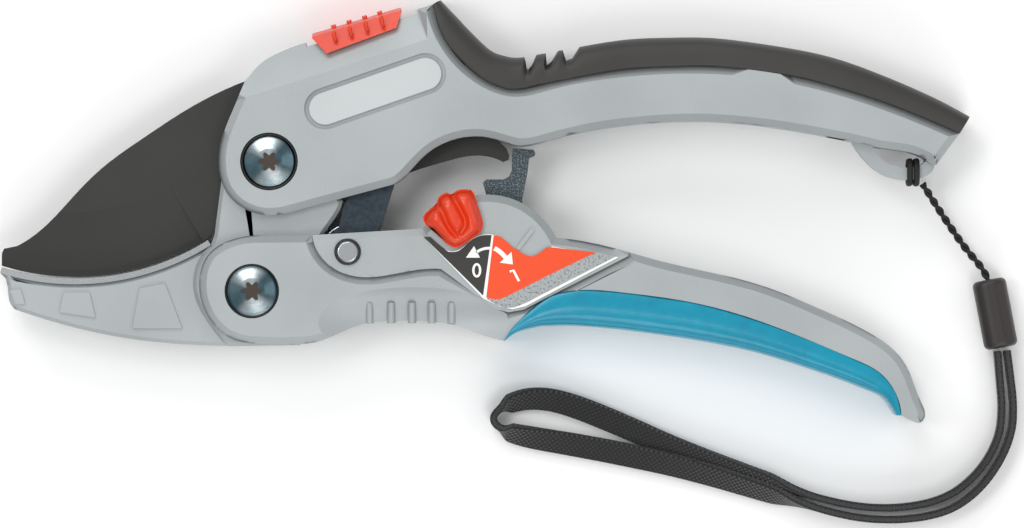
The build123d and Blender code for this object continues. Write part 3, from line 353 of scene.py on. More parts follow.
@dataclass(frozen=True)
class Turned(Finish):
    """Turned and zinc plated steel: rings about the bolt's axis, with a painted blue and gold sheen and
    painted shade in the six-lobed socket.
    """

    centre: Point = (0.0, 0.0, 0.0)
    socket_mm: float = 1.95
    lobe_mm: float = 0.42
    # Painted shade: colour of the socket's recess.
    socket_colour: str = "#6A5F58"
    # Painted shade: the turned face is darkened towards this blue between the two painted bright fans.
    glint_colour: str = "#6F858E"

    TINTS_PER_M = 260.0
    RING_DEPTH_M = 0.00003
    SOCKET_RIM_MM = 0.2

    def dress(self, tree: bpy.types.NodeTree, shader: bpy.types.ShaderNode) -> None:
        """Add lathe rings, the passivation's colours, a painted sheen and the socket's painted shade.

        Args:
            tree: Node tree of the material.
            shader: Its principled shader.
        """
        place = node(tree, "ShaderNodeTexCoord")
        origin = {"Location": tuple(-c * MM for c in self.centre)}
        shift = node(tree, "ShaderNodeMapping", origin, {"Vector": place.outputs["Object"]}).outputs[0]
        lathe = {"wave_type": "RINGS", "rings_direction": "Z", "Distortion": 1.0}
        lathe["Scale"] = 0.5 / (self.grain_mm * MM)
        rings = node(tree, "ShaderNodeTexWave", lathe, {"Vector": shift})
        tint = node(tree, "ShaderNodeTexNoise", {"Scale": self.TINTS_PER_M, "Detail": 2.0}, {"Vector": shift})
        ramp = node(tree, "ShaderNodeValToRGB", {}, {"Fac": tint.outputs["Fac"]})
        ramp.color_ramp.elements[0].position = 0.38
        ramp.color_ramp.elements[0].color = linear(self.shade_colour)
        ramp.color_ramp.elements[1].position = 0.62
        ramp.color_ramp.elements[1].color = linear(self.colour)
        depth = {"Strength": self.bump, "Distance": self.RING_DEPTH_M}
        relief = node(tree, "ShaderNodeBump", depth, {"Height": rings.outputs["Fac"]})
        # Painted highlight: two bright fans across the turned face, with painted blue shade between them.
        flat = node(tree, "ShaderNodeSeparateXYZ", {}, {0: shift})
        angle = maths(tree, "ARCTAN2", flat.outputs["Y"], flat.outputs["X"])
        sheen = maths(tree, "COSINE", maths(tree, "MULTIPLY_ADD", angle, 2.0, 2.7))
        share = node(tree, "ShaderNodeMapRange", {"From Min": -0.4, "From Max": 0.95}, {"Value": sheen})
        painted_sheen = node(
            tree,
            "ShaderNodeMix",
            {"data_type": "RGBA", "blend_type": "MULTIPLY", 7: linear(self.glint_colour)},
            {0: maths(tree, "SUBTRACT", 1.0, share.outputs[0]), 6: ramp.outputs[0]},
        )
        # Painted shade: the six-lobed socket's recess is painted dark at its centre.
        level = {"operation": "MULTIPLY", 1: (1.0, 1.0, 0.0)}
        across = node(tree, "ShaderNodeVectorMath", level, {0: shift})
        radius = node(tree, "ShaderNodeVectorMath", {"operation": "LENGTH"}, {0: across.outputs[0]})
        lobes = maths(tree, "COSINE", maths(tree, "MULTIPLY", angle, 6.0))
        spread = maths(tree, "MULTIPLY_ADD", lobes, -self.lobe_mm * MM, radius.outputs["Value"])
        deep = node(
            tree,
            "ShaderNodeMapRange",
            {"From Min": self.socket_mm * MM, "From Max": (self.socket_mm - self.SOCKET_RIM_MM) * MM},
            {"Value": spread},
        )
        final = node(
            tree,
            "ShaderNodeMix",
            {"data_type": "RGBA", 7: linear(self.socket_colour)},
            {0: deep.outputs[0], 6: painted_sheen.outputs[2]},
        )
        shader.inputs["Roughness"].default_value = self.roughness
        tree.links.new(final.outputs[2], shader.inputs["Base Color"])
        tree.links.new(relief.outputs[0], shader.inputs["Normal"])


@dataclass(frozen=True)
class Braid(Finish):
    """Flat woven polyester: crossing yarns along the piece's own UV map."""

    YARN_DEPTH_M = 0.00035

    def dress(self, tree: bpy.types.NodeTree, shader: bpy.types.ShaderNode) -> None:
        """Add the plaited yarns.

        Args:
            tree: Node tree of the material.
            shader: Its principled shader.
        """
        place = node(tree, "ShaderNodeTexCoord")
        turn = node(
            tree,
            "ShaderNodeMapping",
            {"Rotation": (0, 0, math.radians(45)), "Scale": (1 / self.grain_mm, 1 / self.grain_mm, 1)},
            {"Vector": place.outputs["UV"]},
        )
        warp, weft = (
            node(
                tree,
                "ShaderNodeTexWave",
                {"wave_type": "BANDS", "bands_direction": way, "Scale": 0.314, "Distortion": 0.4},
                {"Vector": turn.outputs[0]},
            ).outputs["Fac"]
            for way in "XY"
        )
        yarn = maths(tree, "MULTIPLY", warp, weft)
        mix = node(
            tree,
            "ShaderNodeMix",
            {"data_type": "RGBA", 6: linear(self.shade_colour), 7: linear(self.colour)},
            {0: yarn},
        )
        depth = {"Strength": self.bump, "Distance": self.YARN_DEPTH_M}
        relief = node(tree, "ShaderNodeBump", depth, {"Height": yarn})
        shader.inputs["Roughness"].default_value = self.roughness
        shader.inputs["Sheen Weight"].default_value = 0.25
        shader.inputs["Sheen Roughness"].default_value = 0.5
        tree.links.new(mix.outputs[2], shader.inputs["Base Color"])
        tree.links.new(relief.outputs[0], shader.inputs["Normal"])


@dataclass(frozen=True)
class Palette:
    """Every finish of the shears, by the real material's name."""

    # Die-cast aluminium, bead blasted and lacquered: an even, fine satin grain.
    cast: Finish = Finish("blasted_cast_aluminium", "#A9AFB0", "#9CA2A3", 0.46, 0.16, metallic=0.35, bump=0.1)
    # Thermoplastic elastomer: soft, slightly pitted and warm dark grey.
    cover: Finish = Finish("moulded_elastomer", "#302F2D", "#282624", 0.5, 0.25, bump=0.15, ior=1.5)
    # Glossy moulded polypropylene with a shallow flow pattern.
    teal: Finish = Finish(
        "moulded_teal_polymer", "#008FAB", "#0083A0", 0.24, 2.5, bump=0.05, ior=1.45, coat=0.1
    )
    # Glossy moulded nylon.
    orange: Finish = Finish(
        "moulded_orange_nylon", "#DF3A0A", "#D43206", 0.3, 1.2, bump=0.06, ior=1.53, coat=0.2
    )
    # Low-friction black coating over hardened steel: satin, faintly brushed.
    blade: Finish = Finish("coated_blade_steel", "#2B2C28", "#20211E", 0.42, 0.22, metallic=0.2, bump=0.12)
    # Stamped steel, blued: mottled by the heat.
    link: Finish = Finish("blued_steel", "#3D4A54", "#2A343C", 0.34, 0.9, metallic=0.6, bump=0.1)
    # Sintered steel: dark with crisp pale specks.
    hook: Speckled = Speckled("sintered_steel", "#39444A", "#7F8B8E", 0.5, 0.35, metallic=0.5, bump=0.35)
    steel: Finish = Finish("ground_steel", "#C4C8CA", "#A8ADB0", 0.25, 0.2, metallic=1.0, bump=0.05)
    badge: Finish = Finish("anodised_badge", "#C2C7C8", "#B6BBBC", 0.4, 0.2, metallic=0.4, bump=0.04)
    # Injection-moulded acetal with a fine spark-eroded texture.
    bead: Finish = Finish("moulded_black_acetal", "#2E2926", "#221E1C", 0.4, 0.3, bump=0.15, ior=1.48)
    braid: Braid = Braid("braided_polyester", "#262525", "#050505", 0.75, 0.8, bump=0.9, ior=1.5)
    # Twisted polyester string, matt black with fine yarn.
    string: Finish = Finish("twisted_polyester", "#1D1C1C", "#0A0A0A", 0.7, 0.5, bump=0.4, ior=1.5)
    ink_black: Finish = Finish("screen_print_black", "#2B2B27", "#242421", 0.42, 0.5, bump=0.02, ior=1.5)
    ink_orange: Finish = Finish("screen_print_orange", "#EA4A12", "#E5440D", 0.5, 0.5, bump=0.02, ior=1.5)
    ink_white: Finish = Finish("screen_print_white", "#F4F4F2", "#E9E9E6", 0.45, 0.5, bump=0.02, ior=1.5)
    # Coarse metallic flake film under the printed label.
    flake: Speckled = Speckled("metal_flake_film", "#A3A8A8", "#6F7474", 0.45, 0.45, metallic=0.5, bump=0.2)
    # Painted shade: deep black with a soft sheen, for the rings put in the gaps around the fastener heads.
    rubber: Finish = Finish("painted_gap_shade_black", "#161615", "#0E0E0D", 0.5, 0.3, bump=0.1, ior=1.52)


class Workshop:
    """Holds the built materials, one of each finish."""

    def __init__(self, palette: Palette) -> None:
        """Build every material of the palette."""
        self.made = {name: getattr(palette, name).material() for name in palette.__dataclass_fields__}

    def __getitem__(self, name: str) -> bpy.types.Material:
        """Give a material by its finish's name."""
        return self.made[name]


# ---- castings and covers


@dataclass
class Shell:
    """A CAD casting or cover that is shown with bevelled rims."""

    source: str
    body: Body
    slot: str
    finish: str
    bevel_mm: float
    segments: int = 1
    spare: Sequence[tuple[float, float, float]] = ()
    flats_mm: Sequence[float] = (0.0, 19.0)
    spare_line: Sequence[Flat] = ()
    spare_reach_mm: float = 1.3

    # Flat faces are joined below this angle before the bevel, and edges are sharp above the other.
    JOIN_DEGREES = 0.7
    SHARP_DEGREES = 24.0
    # Heights this near to a flat belong to it.
    SKIN_MM = 0.02
    # Upward part of a normal: a wall has less, a flat more, and an even flat more still.
    WALL, FLAT, REVERSED, EVEN = 0.2, 0.95, 0.9, 0.999

    def build(self, frame: dict, shop: Workshop) -> None:
        """Bevel a merged copy of the CAD mesh and show it in its place.

        Args:
            frame: The loaded frame.
            shop: Materials.
        """
        bm = bmesh.new()
        bm.from_mesh(frame["nodes"][self.source].data)
        bmesh.ops.remove_doubles(bm, verts=bm.verts, dist=WELD)
        join = math.radians(self.JOIN_DEGREES)
        bmesh.ops.dissolve_limit(bm, angle_limit=join, verts=bm.verts, edges=bm.edges)
        rim = [edge for edge in bm.edges if self.on_rim(edge)]
        low, high = self.extent([v.co.copy() for v in bm.verts])
        bmesh.ops.bevel(
            bm,
            geom=rim,
            offset=self.bevel_mm * MM,
            offset_type="OFFSET",
            segments=self.segments,
            profile=0.5,
            affect="EDGES",
            clamp_overlap=False,
            material=-1,
        )
        bmesh.ops.triangulate(bm, faces=[f for f in bm.faces if len(f.verts) > 4])
        for vert in bm.verts:
            for axis in range(3):
                vert.co[axis] = min(max(vert.co[axis], low[axis]), high[axis])
        bm.normal_update()
        # The bevel leaves some faces turned over in the top and bottom planes.
        skin = self.SKIN_MM * MM
        turned = []
        for face in bm.faces:
            on_top = min(v.co.z for v in face.verts) > high.z - skin
            below = max(v.co.z for v in face.verts) < low.z + skin
            if (on_top and face.normal.z < -self.REVERSED) or (below and face.normal.z > self.REVERSED):
                turned.append(face)
        bmesh.ops.delete(bm, geom=turned, context="FACES")
        piece = add_piece(f"{self.source}_shell", bm, self.body, shop[self.finish])
        shade(piece, self.SHARP_DEGREES)
        for polygon in piece.data.polygons:
            if abs(polygon.normal.z) > self.EVEN:
                polygon.use_smooth = False
        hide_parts(self.source)

    @staticmethod
    def extent(points: Sequence[Vector]) -> tuple[Vector, Vector]:
        """Give the lowest and highest corner of some points."""
        low = Vector([min(p[i] for p in points) for i in range(3)])
        high = Vector([max(p[i] for p in points) for i in range(3)])
        return low, high

    def on_rim(self, edge: bmesh.types.BMEdge) -> bool:
        """Tell whether an edge is on the outer rim of a flat face.

        Args:
            edge: Edge to test.

        Returns:
            True where the rim gets its bevel.
        """
        if len(edge.link_faces) != 2 or not edge.is_convex:
            return False
        ends = [v.co.z / MM for v in edge.verts]
        if self.flats_mm and not any(all(abs(z - f) < self.SKIN_MM for z in ends) for f in self.flats_mm):
            return False
        tilts = sorted(abs(f.normal.z) for f in edge.link_faces)
        if tilts[0] > self.WALL or tilts[1] < self.FLAT:
            return False
        middle = (edge.verts[0].co + edge.verts[1].co) / (2 * MM)
        circles = list(self.spare)
        if self.spare_line:
            circles += [(x, y, self.spare_reach_mm) for x, y in smooth_line(self.spare_line, 12)]
        return all(math.hypot(middle.x - x, middle.y - y) > reach for x, y, reach in circles)


# ---- lofted pieces


def loft(rings: Sequence[Sequence[Vector]], marks: Sequence[float] | None = None) -> bmesh.types.BMesh:
    """Bridge closed rings one after another and close both ends.

    Args:
        rings: Rings of equal length, in metres, starting at matching points.
        marks: Position of each ring along the piece in millimetres, for its UV map.

    Returns:
        The closed bmesh.
    """
    bm = bmesh.new()
    along = bm.verts.layers.float.new("along")
    across = bm.verts.layers.float.new("across")
    loops = []
    for number, ring in enumerate(rings):
        verts = []
        walked = 0.0
        for i, place in enumerate(ring):
            vert = bm.verts.new(place)
            walked += (place - ring[i - 1]).length / MM if i else 0.0
            vert[along] = marks[number] if marks else 0.0
            vert[across] = walked
            verts.append(vert)
        loops.append([bm.edges.new((verts[i], verts[(i + 1) % len(verts)])) for i in range(len(verts))])
    for first, second in zip(loops, loops[1:]):
        bmesh.ops.bridge_loops(bm, edges=first + second)
    bmesh.ops.holes_fill(bm, edges=loops[0] + loops[-1], sides=0)
    bmesh.ops.recalc_face_normals(bm, faces=bm.faces)
    if marks:
        layer = bm.loops.layers.uv.new("length_mm")
        for face in bm.faces:
            for corner in face.loops:
                corner[layer].uv = (corner.vert[along], corner.vert[across])
    return bm


@dataclass
class Cover:
    """A moulded grip cover, lofted between its seam and its crowned back edge."""

    source: str
    body: Body
    slot: str
    finish: str
    seam_mm: Sequence[Flat]
    back_mm: Sequence[Flat]
    top_mm: float = 19.3
    grooves_mm: Sequence[float] = ()
    groove_depth_mm: float = 2.9
    groove_half_mm: float = 1.0
    crown: Sequence[Flat] = (
        (0.0, 0.55), (0.04, 0.12), (0.12, 0.0), (0.42, 0.0), (0.64, 0.25), (0.8, 0.9), (0.91, 1.9),
        (0.975, 3.2), (1.0, 4.8),
    )

    def build(self, shop: Workshop) -> None:
        """Loft the cover.

        Args:
            shop: Materials.
        """
        seam = smooth_line(self.seam_mm, 12)
        back = smooth_line(self.back_mm, 12)
        rings = [self.ring(Vector(s), Vector(b)) for s, b in zip(seam, back)]
        piece = add_piece(f"{self.source}_cover", loft(rings), self.body, shop[self.finish])
        shade(piece, 40.0)
        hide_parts(self.source)

    def ring(self, seam: Vector, back: Vector) -> list[Vector]:
        """Section of the cover at one place.

        Args:
            seam: Point on the seam with the casting, in millimetres.
            back: Point on the back edge.

        Returns:
            The section's points in metres.
        """
        way = back - seam
        cut = 0.0
        for groove in self.grooves_mm:
            near = abs(back.x - groove) / self.groove_half_mm
            if near < 1:
                cut = max(cut, self.groove_depth_mm * (1 - near**4))
        reach = max(0.2, 1 - cut / max(way.length, 0.01))
        front = [(u * reach, self.top_mm - drop) for u, drop in self.crown]
        rear = [(u * reach, drop) for u, drop in reversed(self.crown)]
        return [Vector((seam.x + way.x * u, seam.y + way.y * u, z)) * MM for u, z in front + rear]


# ---- lanyard


@dataclass
class Lanyard:
    """Wrist lanyard: the twisted string from the hitch to the bead, and the flat braided loop from the bead.
    """

    string_mm: Sequence[Point] = (
        (145.3, -4.9, 5.2), (147.9, -8.9, 3.4), (151.2, -13.9, 2.2), (155.0, -19.4, 2.4),
        (159.65, -24.8, 3.75), (160.75, -30.0, 3.75), (161.5, -34.0, 3.85),
    )
    strap_mm: Sequence[Point] = (
        (162.0, -42.2, 3.2), (162.5, -48.6, 3.0), (163.1, -55.0, 2.85), (162.3, -61.8, 2.8),
        (158.0, -69.2, 2.9), (150.6, -75.2, 2.8), (139.1, -77.4, 2.9), (127.1, -76.4, 2.8),
        (111.6, -71.6, 2.7), (92.0, -64.7, 2.1), (76.9, -58.0, 1.5), (65.8, -53.6, 1.7),
        (58.7, -52.4, 2.2), (52.7, -53.8, 2.7), (49.6, -56.2, 2.8), (49.8, -58.4, 2.8),
        (52.9, -60.2, 2.7), (58.0, -61.4, 2.2), (67.0, -62.9, 1.7), (78.2, -65.0, 1.5),
        (93.8, -68.4, 2.1), (112.5, -74.2, 2.7), (127.8, -79.0, 2.8), (139.1, -80.0, 2.9),
        (150.2, -78.4, 2.8), (157.1, -74.0, 2.9), (162.2, -67.6, 2.8), (165.3, -60.4, 2.85),
        (165.6, -54.0, 3.0), (164.9, -48.0, 3.1), (164.1, -42.0, 3.2),
    )
    string_d_mm: float = 1.8
    twist_mm: float = 5.0
    strap_half_mm: float = 2.65
    strap_thick_half_mm: float = 0.8
    strand_sides: int = 10
    # The strands press into each other a little.
    strand_lay: float = 0.95
    spline_steps: int = 14
    # The leaning braid stays this far above the table.
    lift_mm: float = 0.1
    # It is fully on edge this far above the first height.
    upright_from_mm: float = 2.62
    upright_over_mm: float = 0.16

    def centreline(self, route: Sequence[Point]) -> list[Vector]:
        """Follow a smooth spline with the route's points as its control points.

        Args:
            route: Control points in millimetres.

        Returns:
            Points on the spline in metres.
        """
        curve = bpy.data.curves.new("centreline", "CURVE")
        curve.dimensions = "3D"
        spline = curve.splines.new("NURBS")
        spline.points.add(len(route) - 1)
        for point, place in zip(spline.points, metres(route)):
            point.co = (*place, 1.0)
        spline.order_u = 3
        spline.use_endpoint_u = True
        spline.resolution_u = self.spline_steps
        guide = bpy.data.objects.new("centreline", curve)
        bpy.context.scene.collection.objects.link(guide)
        found = [v.co.copy() for v in guide.to_mesh().vertices]
        guide.to_mesh_clear()
        bpy.data.objects.remove(guide)
        bpy.data.curves.remove(curve)
        return found

    @staticmethod
    def walk(line: Sequence[Vector]) -> list[tuple[Vector, Vector, Vector, float]]:
        """Follow a line with a side and an up vector.

        Args:
            line: Points in metres.

        Returns:
            Place, side, up and distance walked in millimetres, for each point.
        """
        steps = []
        walked = 0.0
        for i, place in enumerate(line):
            ahead = (line[min(i + 1, len(line) - 1)] - line[max(i - 1, 0)]).normalized()
            side = ahead.cross(Vector((0, 0, 1))).normalized()
            walked += (place - line[i - 1]).length / MM if i else 0.0
            steps.append((place, side, side.cross(ahead), walked))
        return steps

    def string_mesh(self, line: Sequence[Vector]) -> bmesh.types.BMesh:
        """Twist two strands about the string's centreline.

        Args:
            line: Centreline in metres.

        Returns:
            Both strands in one bmesh.
        """
        radius = self.string_d_mm / 4 * MM
        circle = [math.tau * k / self.strand_sides for k in range(self.strand_sides)]
        both = bmesh.new()
        for strand in (0.0, math.pi):
            rings = []
            for place, side, up, walked in self.walk(line):
                turn = strand + math.tau * walked / self.twist_mm
                centre = place + (side * math.cos(turn) + up * math.sin(turn)) * radius * self.strand_lay
                rings.append([centre + (side * math.cos(a) + up * math.sin(a)) * radius for a in circle])
            strand_bm = loft(rings)
            mesh = bpy.data.meshes.new("strand")
            strand_bm.to_mesh(mesh)
            strand_bm.free()
            both.from_mesh(mesh)
            bpy.data.meshes.remove(mesh)
        return both

    def strap_rings(self, line: Sequence[Vector]) -> tuple[list[list[Vector]], list[float]]:
        """Lay the flat braid: on edge by the bead and at the fold, leaning over where it lies lower.

        Args:
            line: Centreline in metres.

        Returns:
            The rings, and the distance of each along the strap.
        """
        half, thin = self.strap_half_mm * MM, self.strap_thick_half_mm * MM
        reach = math.hypot(half, thin)
        lead = math.atan2(thin, half)
        section = ((1.0, 0.45), (0.93, 1.0), (0.72, 1.0), (-0.72, 1.0), (-0.93, 1.0), (-1.0, 0.45))
        section = section + tuple((-u, -v) for u, v in section)
        steps = self.walk(line)
        total = steps[-1][3]
        rings, marks = [], []
        for place, side, up, walked in steps:
            share = min(1.0, max(0.0, (place.z - self.lift_mm * MM) / reach))
            lean = math.asin(share) - lead
            upright = min(1.0, max(0.0, (place.z / MM - self.upright_from_mm) / self.upright_over_mm))
            lean = lean + (math.pi / 2 - lean) * upright * upright * (3 - 2 * upright)
            if walked > total / 2:
                lean = math.pi - lean
            wide = side * math.cos(lean) + up * math.sin(lean)
            deep = up * math.cos(lean) - side * math.sin(lean)
            rings.append([place + wide * half * u + deep * thin * v for u, v in section])
            marks.append(walked)
        return rings, marks

    def build(self, frame: dict, shop: Workshop) -> None:
        """Make the cords.

        Args:
            frame: The loaded frame; not used.
            shop: Materials.
        """
        line = self.centreline(self.string_mm)
        string = add_piece("string_twisted", self.string_mesh(line), Body.FRAME, shop["string"])
        shade(string, 60.0)
        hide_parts("lanyard_string")
        line = self.centreline(self.strap_mm)
        rings, marks = self.strap_rings(line)
        strap = add_piece("strap_braid", loft(rings, marks), Body.FRAME, shop["braid"])
        shade(strap, 50.0)
        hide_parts("lanyard_strap")


# ---- printed dial


@dataclass
class DialPrint:
    """The printed label on the recessed dial face."""

    height_mm: float = 18.9
    film_mm: float = 0.03
    gap_mm: float = 0.01

    def lay(self, name: str, bm: bmesh.types.BMesh, finish: str, shop: Workshop) -> None:
        """Lay one thin printed film.

        Args:
            name: Object name.
            bm: Flat faces at their height.
            finish: Name of its finish.
            shop: Materials.
        """
        raise_slab(bm, self.film_mm)
        piece = add_piece(name, bm, Body.SQUEEZE, shop[finish])
        shade(piece, 20.0)

    def level(self, layer: int) -> float:
        """Height of a layer of the print in millimetres."""
        return self.height_mm + self.gap_mm + layer * self.film_mm

    def patch(
        self, name: str, points: Sequence[Sequence[float]], layer: int, finish: str, shop: Workshop
    ) -> None:
        """Print one solid field.

        Args:
            name: Object name.
            points: Outline in millimetres.
            layer: Order in the print, from 0.
            finish: Name of its finish.
            shop: Materials.
        """
        self.lay(name, outline(points, self.level(layer)), finish, shop)

    def stroke(
        self,
        name: str,
        path: Sequence[Flat],
        width: float,
        layer: int,
        finish: str,
        shop: Workshop,
        closed: bool = False,
    ) -> None:
        """Print one line of even width.

        Args:
            name: Object name.
            path: Centreline in millimetres.
            width: Millimetres.
            layer: Order in the print, from 0.
            finish: Name of its finish.
            shop: Materials.
            closed: Whether the line closes on itself.
        """
        count = len(path)
        bm = bmesh.new()
        rails = []
        for hand in (0.5, -0.5):
            verts = []
            for i, (x, y) in enumerate(path):
                before = path[(i - 1) % count] if closed else path[max(i - 1, 0)]
                after = path[(i + 1) % count] if closed else path[min(i + 1, count - 1)]
                way = Vector((after[0] - before[0], after[1] - before[1])).normalized()
                spot = (x - way.y * hand * width, y + way.x * hand * width, self.level(layer))
                verts.append(bm.verts.new(Vector(spot) * MM))
            pairs = zip(verts, verts[1:] + verts[:1] if closed else verts[1:])
            rails += [bm.edges.new(pair) for pair in pairs]
        bmesh.ops.bridge_loops(bm, edges=rails)
        bm.normal_update()
        bmesh.ops.reverse_faces(bm, faces=[f for f in bm.faces if f.normal.z < 0])
        self.lay(name, bm, finish, shop)

    def build(self, shop: Workshop) -> None:
        """Print the fields, the arrows and the numerals.

        Args:
            shop: Materials.
        """
        wave = smooth_line(((61.6, -19.0), (58.2, -21.0), (54.6, -19.4), (51.6, -16.9), (49.75, -16.3)), 6)
        left_wave = ((49.3, -16.3), (47.0, -16.4), (44.7, -17.5), (42.0, -19.8), (39.7, -20.0))
        black = [(34.2, -16.7), (39.5, -21.9), (47.4, -29.7)] + smooth_line(left_wave, 6)
        black += [(37.6, -18.4), (35.7, -16.7)]
        self.patch("dial_black_field", black, 0, "ink_black", shop)
        strip = [(48.2, -30.4), (50.4, -31.8), (52.4, -32.4), (54.4, -32.3), (56.9, -31.3), (66.9, -26.1)]
        strip += [(76.9, -21.0), (70.9, -19.9), (60.0, -22.0), (50.0, -29.0)]
        self.patch("dial_flake_strip", strip, 0, "flake", shop)
        orange = [(48.1, -30.1), (49.6, -30.5), (51.2, -30.5), (54.4, -29.0), (62.0, -25.1), (72.4, -20.1)]
        self.patch("dial_orange_field", orange + [(62.4, -19.0)] + wave, 1, "ink_orange", shop)
        self.patch("off_arrow_head", [(43.6, -21.3), (46.7, -21.3), (45.4, -18.7)], 2, "ink_white", shop)
        shaft = smooth_line(((45.9, -20.1), (46.8, -19.6), (47.9, -19.25), (49.2, -19.2)), 5)
        self.stroke("off_arrow_shaft", shaft, 0.6, 2, "ink_white", shop)
        self.patch("on_arrow_head", [(54.0, -22.8), (53.7, -20.0), (51.1, -22.4)], 3, "ink_white", shop)
        shaft = smooth_line(((49.9, -19.2), (50.8, -19.75), (51.7, -20.5), (52.5, -21.4)), 5)
        self.stroke("on_arrow_shaft", shaft, 1.0, 3, "ink_white", shop)
        turns = [math.tau * k / 28 for k in range(28)]
        ring = [(46.0 + 0.75 * math.cos(a), -24.1 + 1.35 * math.sin(a)) for a in turns]
        self.stroke("off_numeral", ring, 0.5, 2, "ink_white", shop, closed=True)
        self.stroke("on_numeral", [(55.35, -26.5), (54.1, -24.1), (53.3, -24.4)], 0.55, 3, "ink_white", shop)


# ---- small dressed pieces


@dataclass(frozen=True)
class ShadeRing:
    """A black round-section ring in the gap between a fastener's head and its seat, as painted shade for that
    gap.
    """

    name: str
    body: Body
    centre_mm: Point
    radius_mm: float
    section_mm: float
    sides: int = 14
    steps: int = 64

    def build(self, shop: Workshop) -> None:
        """Spin the ring's section about the fastener's axis.

        Args:
            shop: Materials.
        """
        bm = bmesh.new()
        circle = bmesh.ops.create_circle(bm, segments=self.sides, radius=self.section_mm * MM)["verts"]
        turn = Euler((math.pi / 2, 0, 0)).to_matrix()
        centre = Vector(self.centre_mm) * MM
        bmesh.ops.rotate(bm, verts=circle, matrix=turn)
        bmesh.ops.translate(bm, verts=circle, vec=centre + Vector((self.radius_mm * MM, 0, 0)))
        bmesh.ops.spin(
            bm,
            geom=bm.verts[:] + bm.edges[:],
            cent=centre,
            axis=(0, 0, 1),
            angle=math.tau,
            steps=self.steps,
            use_merge=True,
        )
        bmesh.ops.recalc_face_normals(bm, faces=bm.faces)
        # The ring's black is painted shade in the gap.
        piece = add_piece(self.name, bm, self.body, shop["rubber"])
        shade(piece, 60.0)


@dataclass
class SliderRibs:
    """Four rounded thumb ribs across the face of the sliding lock."""

    starts_mm: Sequence[Flat] = ((14.2, 29.0), (17.7, 30.1), (21.2, 31.2), (24.7, 32.3))
    way_mm: Flat = (0.55, -2.6)
    half_width_mm: float = 0.5
    rise_mm: float = 0.5
    root_mm: float = 0.35
    stations: Sequence[float] = (0.0, 0.04, 0.12, 0.3, 0.6, 0.8, 0.92, 1.0)

    def build(self, frame: dict, shop: Workshop) -> None:
        """Set the ribs on the face of the slider.

        Args:
            frame: The loaded frame.
            shop: Materials.
        """
        top = max(v.co.z for v in frame["nodes"]["lock_slider"].data.vertices) / MM
        half_turn = [math.pi * k / 10 for k in range(11)]
        for number, (x, y) in enumerate(self.starts_mm):
            rings = []
            for share in self.stations:
                swell = math.sin(math.pi * min(share * 4 + 0.15, 0.5))
                swell *= math.cos(math.pi / 2 * max(0.0, share - 0.6) * 2.4)
                spot = Vector((x + self.way_mm[0] * share, y + self.way_mm[1] * share, top - self.root_mm))
                side = Vector((-self.way_mm[1], self.way_mm[0], 0)).normalized() * self.half_width_mm * swell
                up = Vector((0, 0, (self.root_mm + self.rise_mm) * swell))
                arch = [spot + side * math.cos(a) + up * math.sin(a) for a in half_turn]
                rings.append([p * MM for p in arch])
            piece = add_piece(f"slider_rib_{number}", loft(rings), Body.LOCK, shop["orange"])
            shade(piece, 50.0)


@dataclass
class Lever:
    """The selector's lever, trimmed so that it stays under the knob."""

    knob_mm: Flat = (41.9, -12.9)
    reach_mm: float = 11.0
    shrink: float = 0.72
    slant: float = 0.45

    def build(self, frame: dict, shop: Workshop) -> None:
        """Pull in the end of a merged copy of the lever.

        Args:
            frame: The loaded frame.
            shop: Materials.
        """
        bm = bmesh.new()
        bm.from_mesh(frame["nodes"]["selector_lever"].data)
        bmesh.ops.remove_doubles(bm, verts=bm.verts, dist=WELD)
        knob = Vector(self.knob_mm) * MM
        for vert in bm.verts:
            away = vert.co.xy - knob
            if away.length < self.reach_mm * MM and away.y - self.slant * away.x > 0.0:
                vert.co.x = knob.x + away.x * self.shrink
                vert.co.y = knob.y + away.y * self.shrink
        piece = add_piece("selector_lever_trimmed", bm, Body.SELECTOR, shop["cast"])
        shade(piece, 30.0)
        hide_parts("selector_lever")


# ---- selector knob


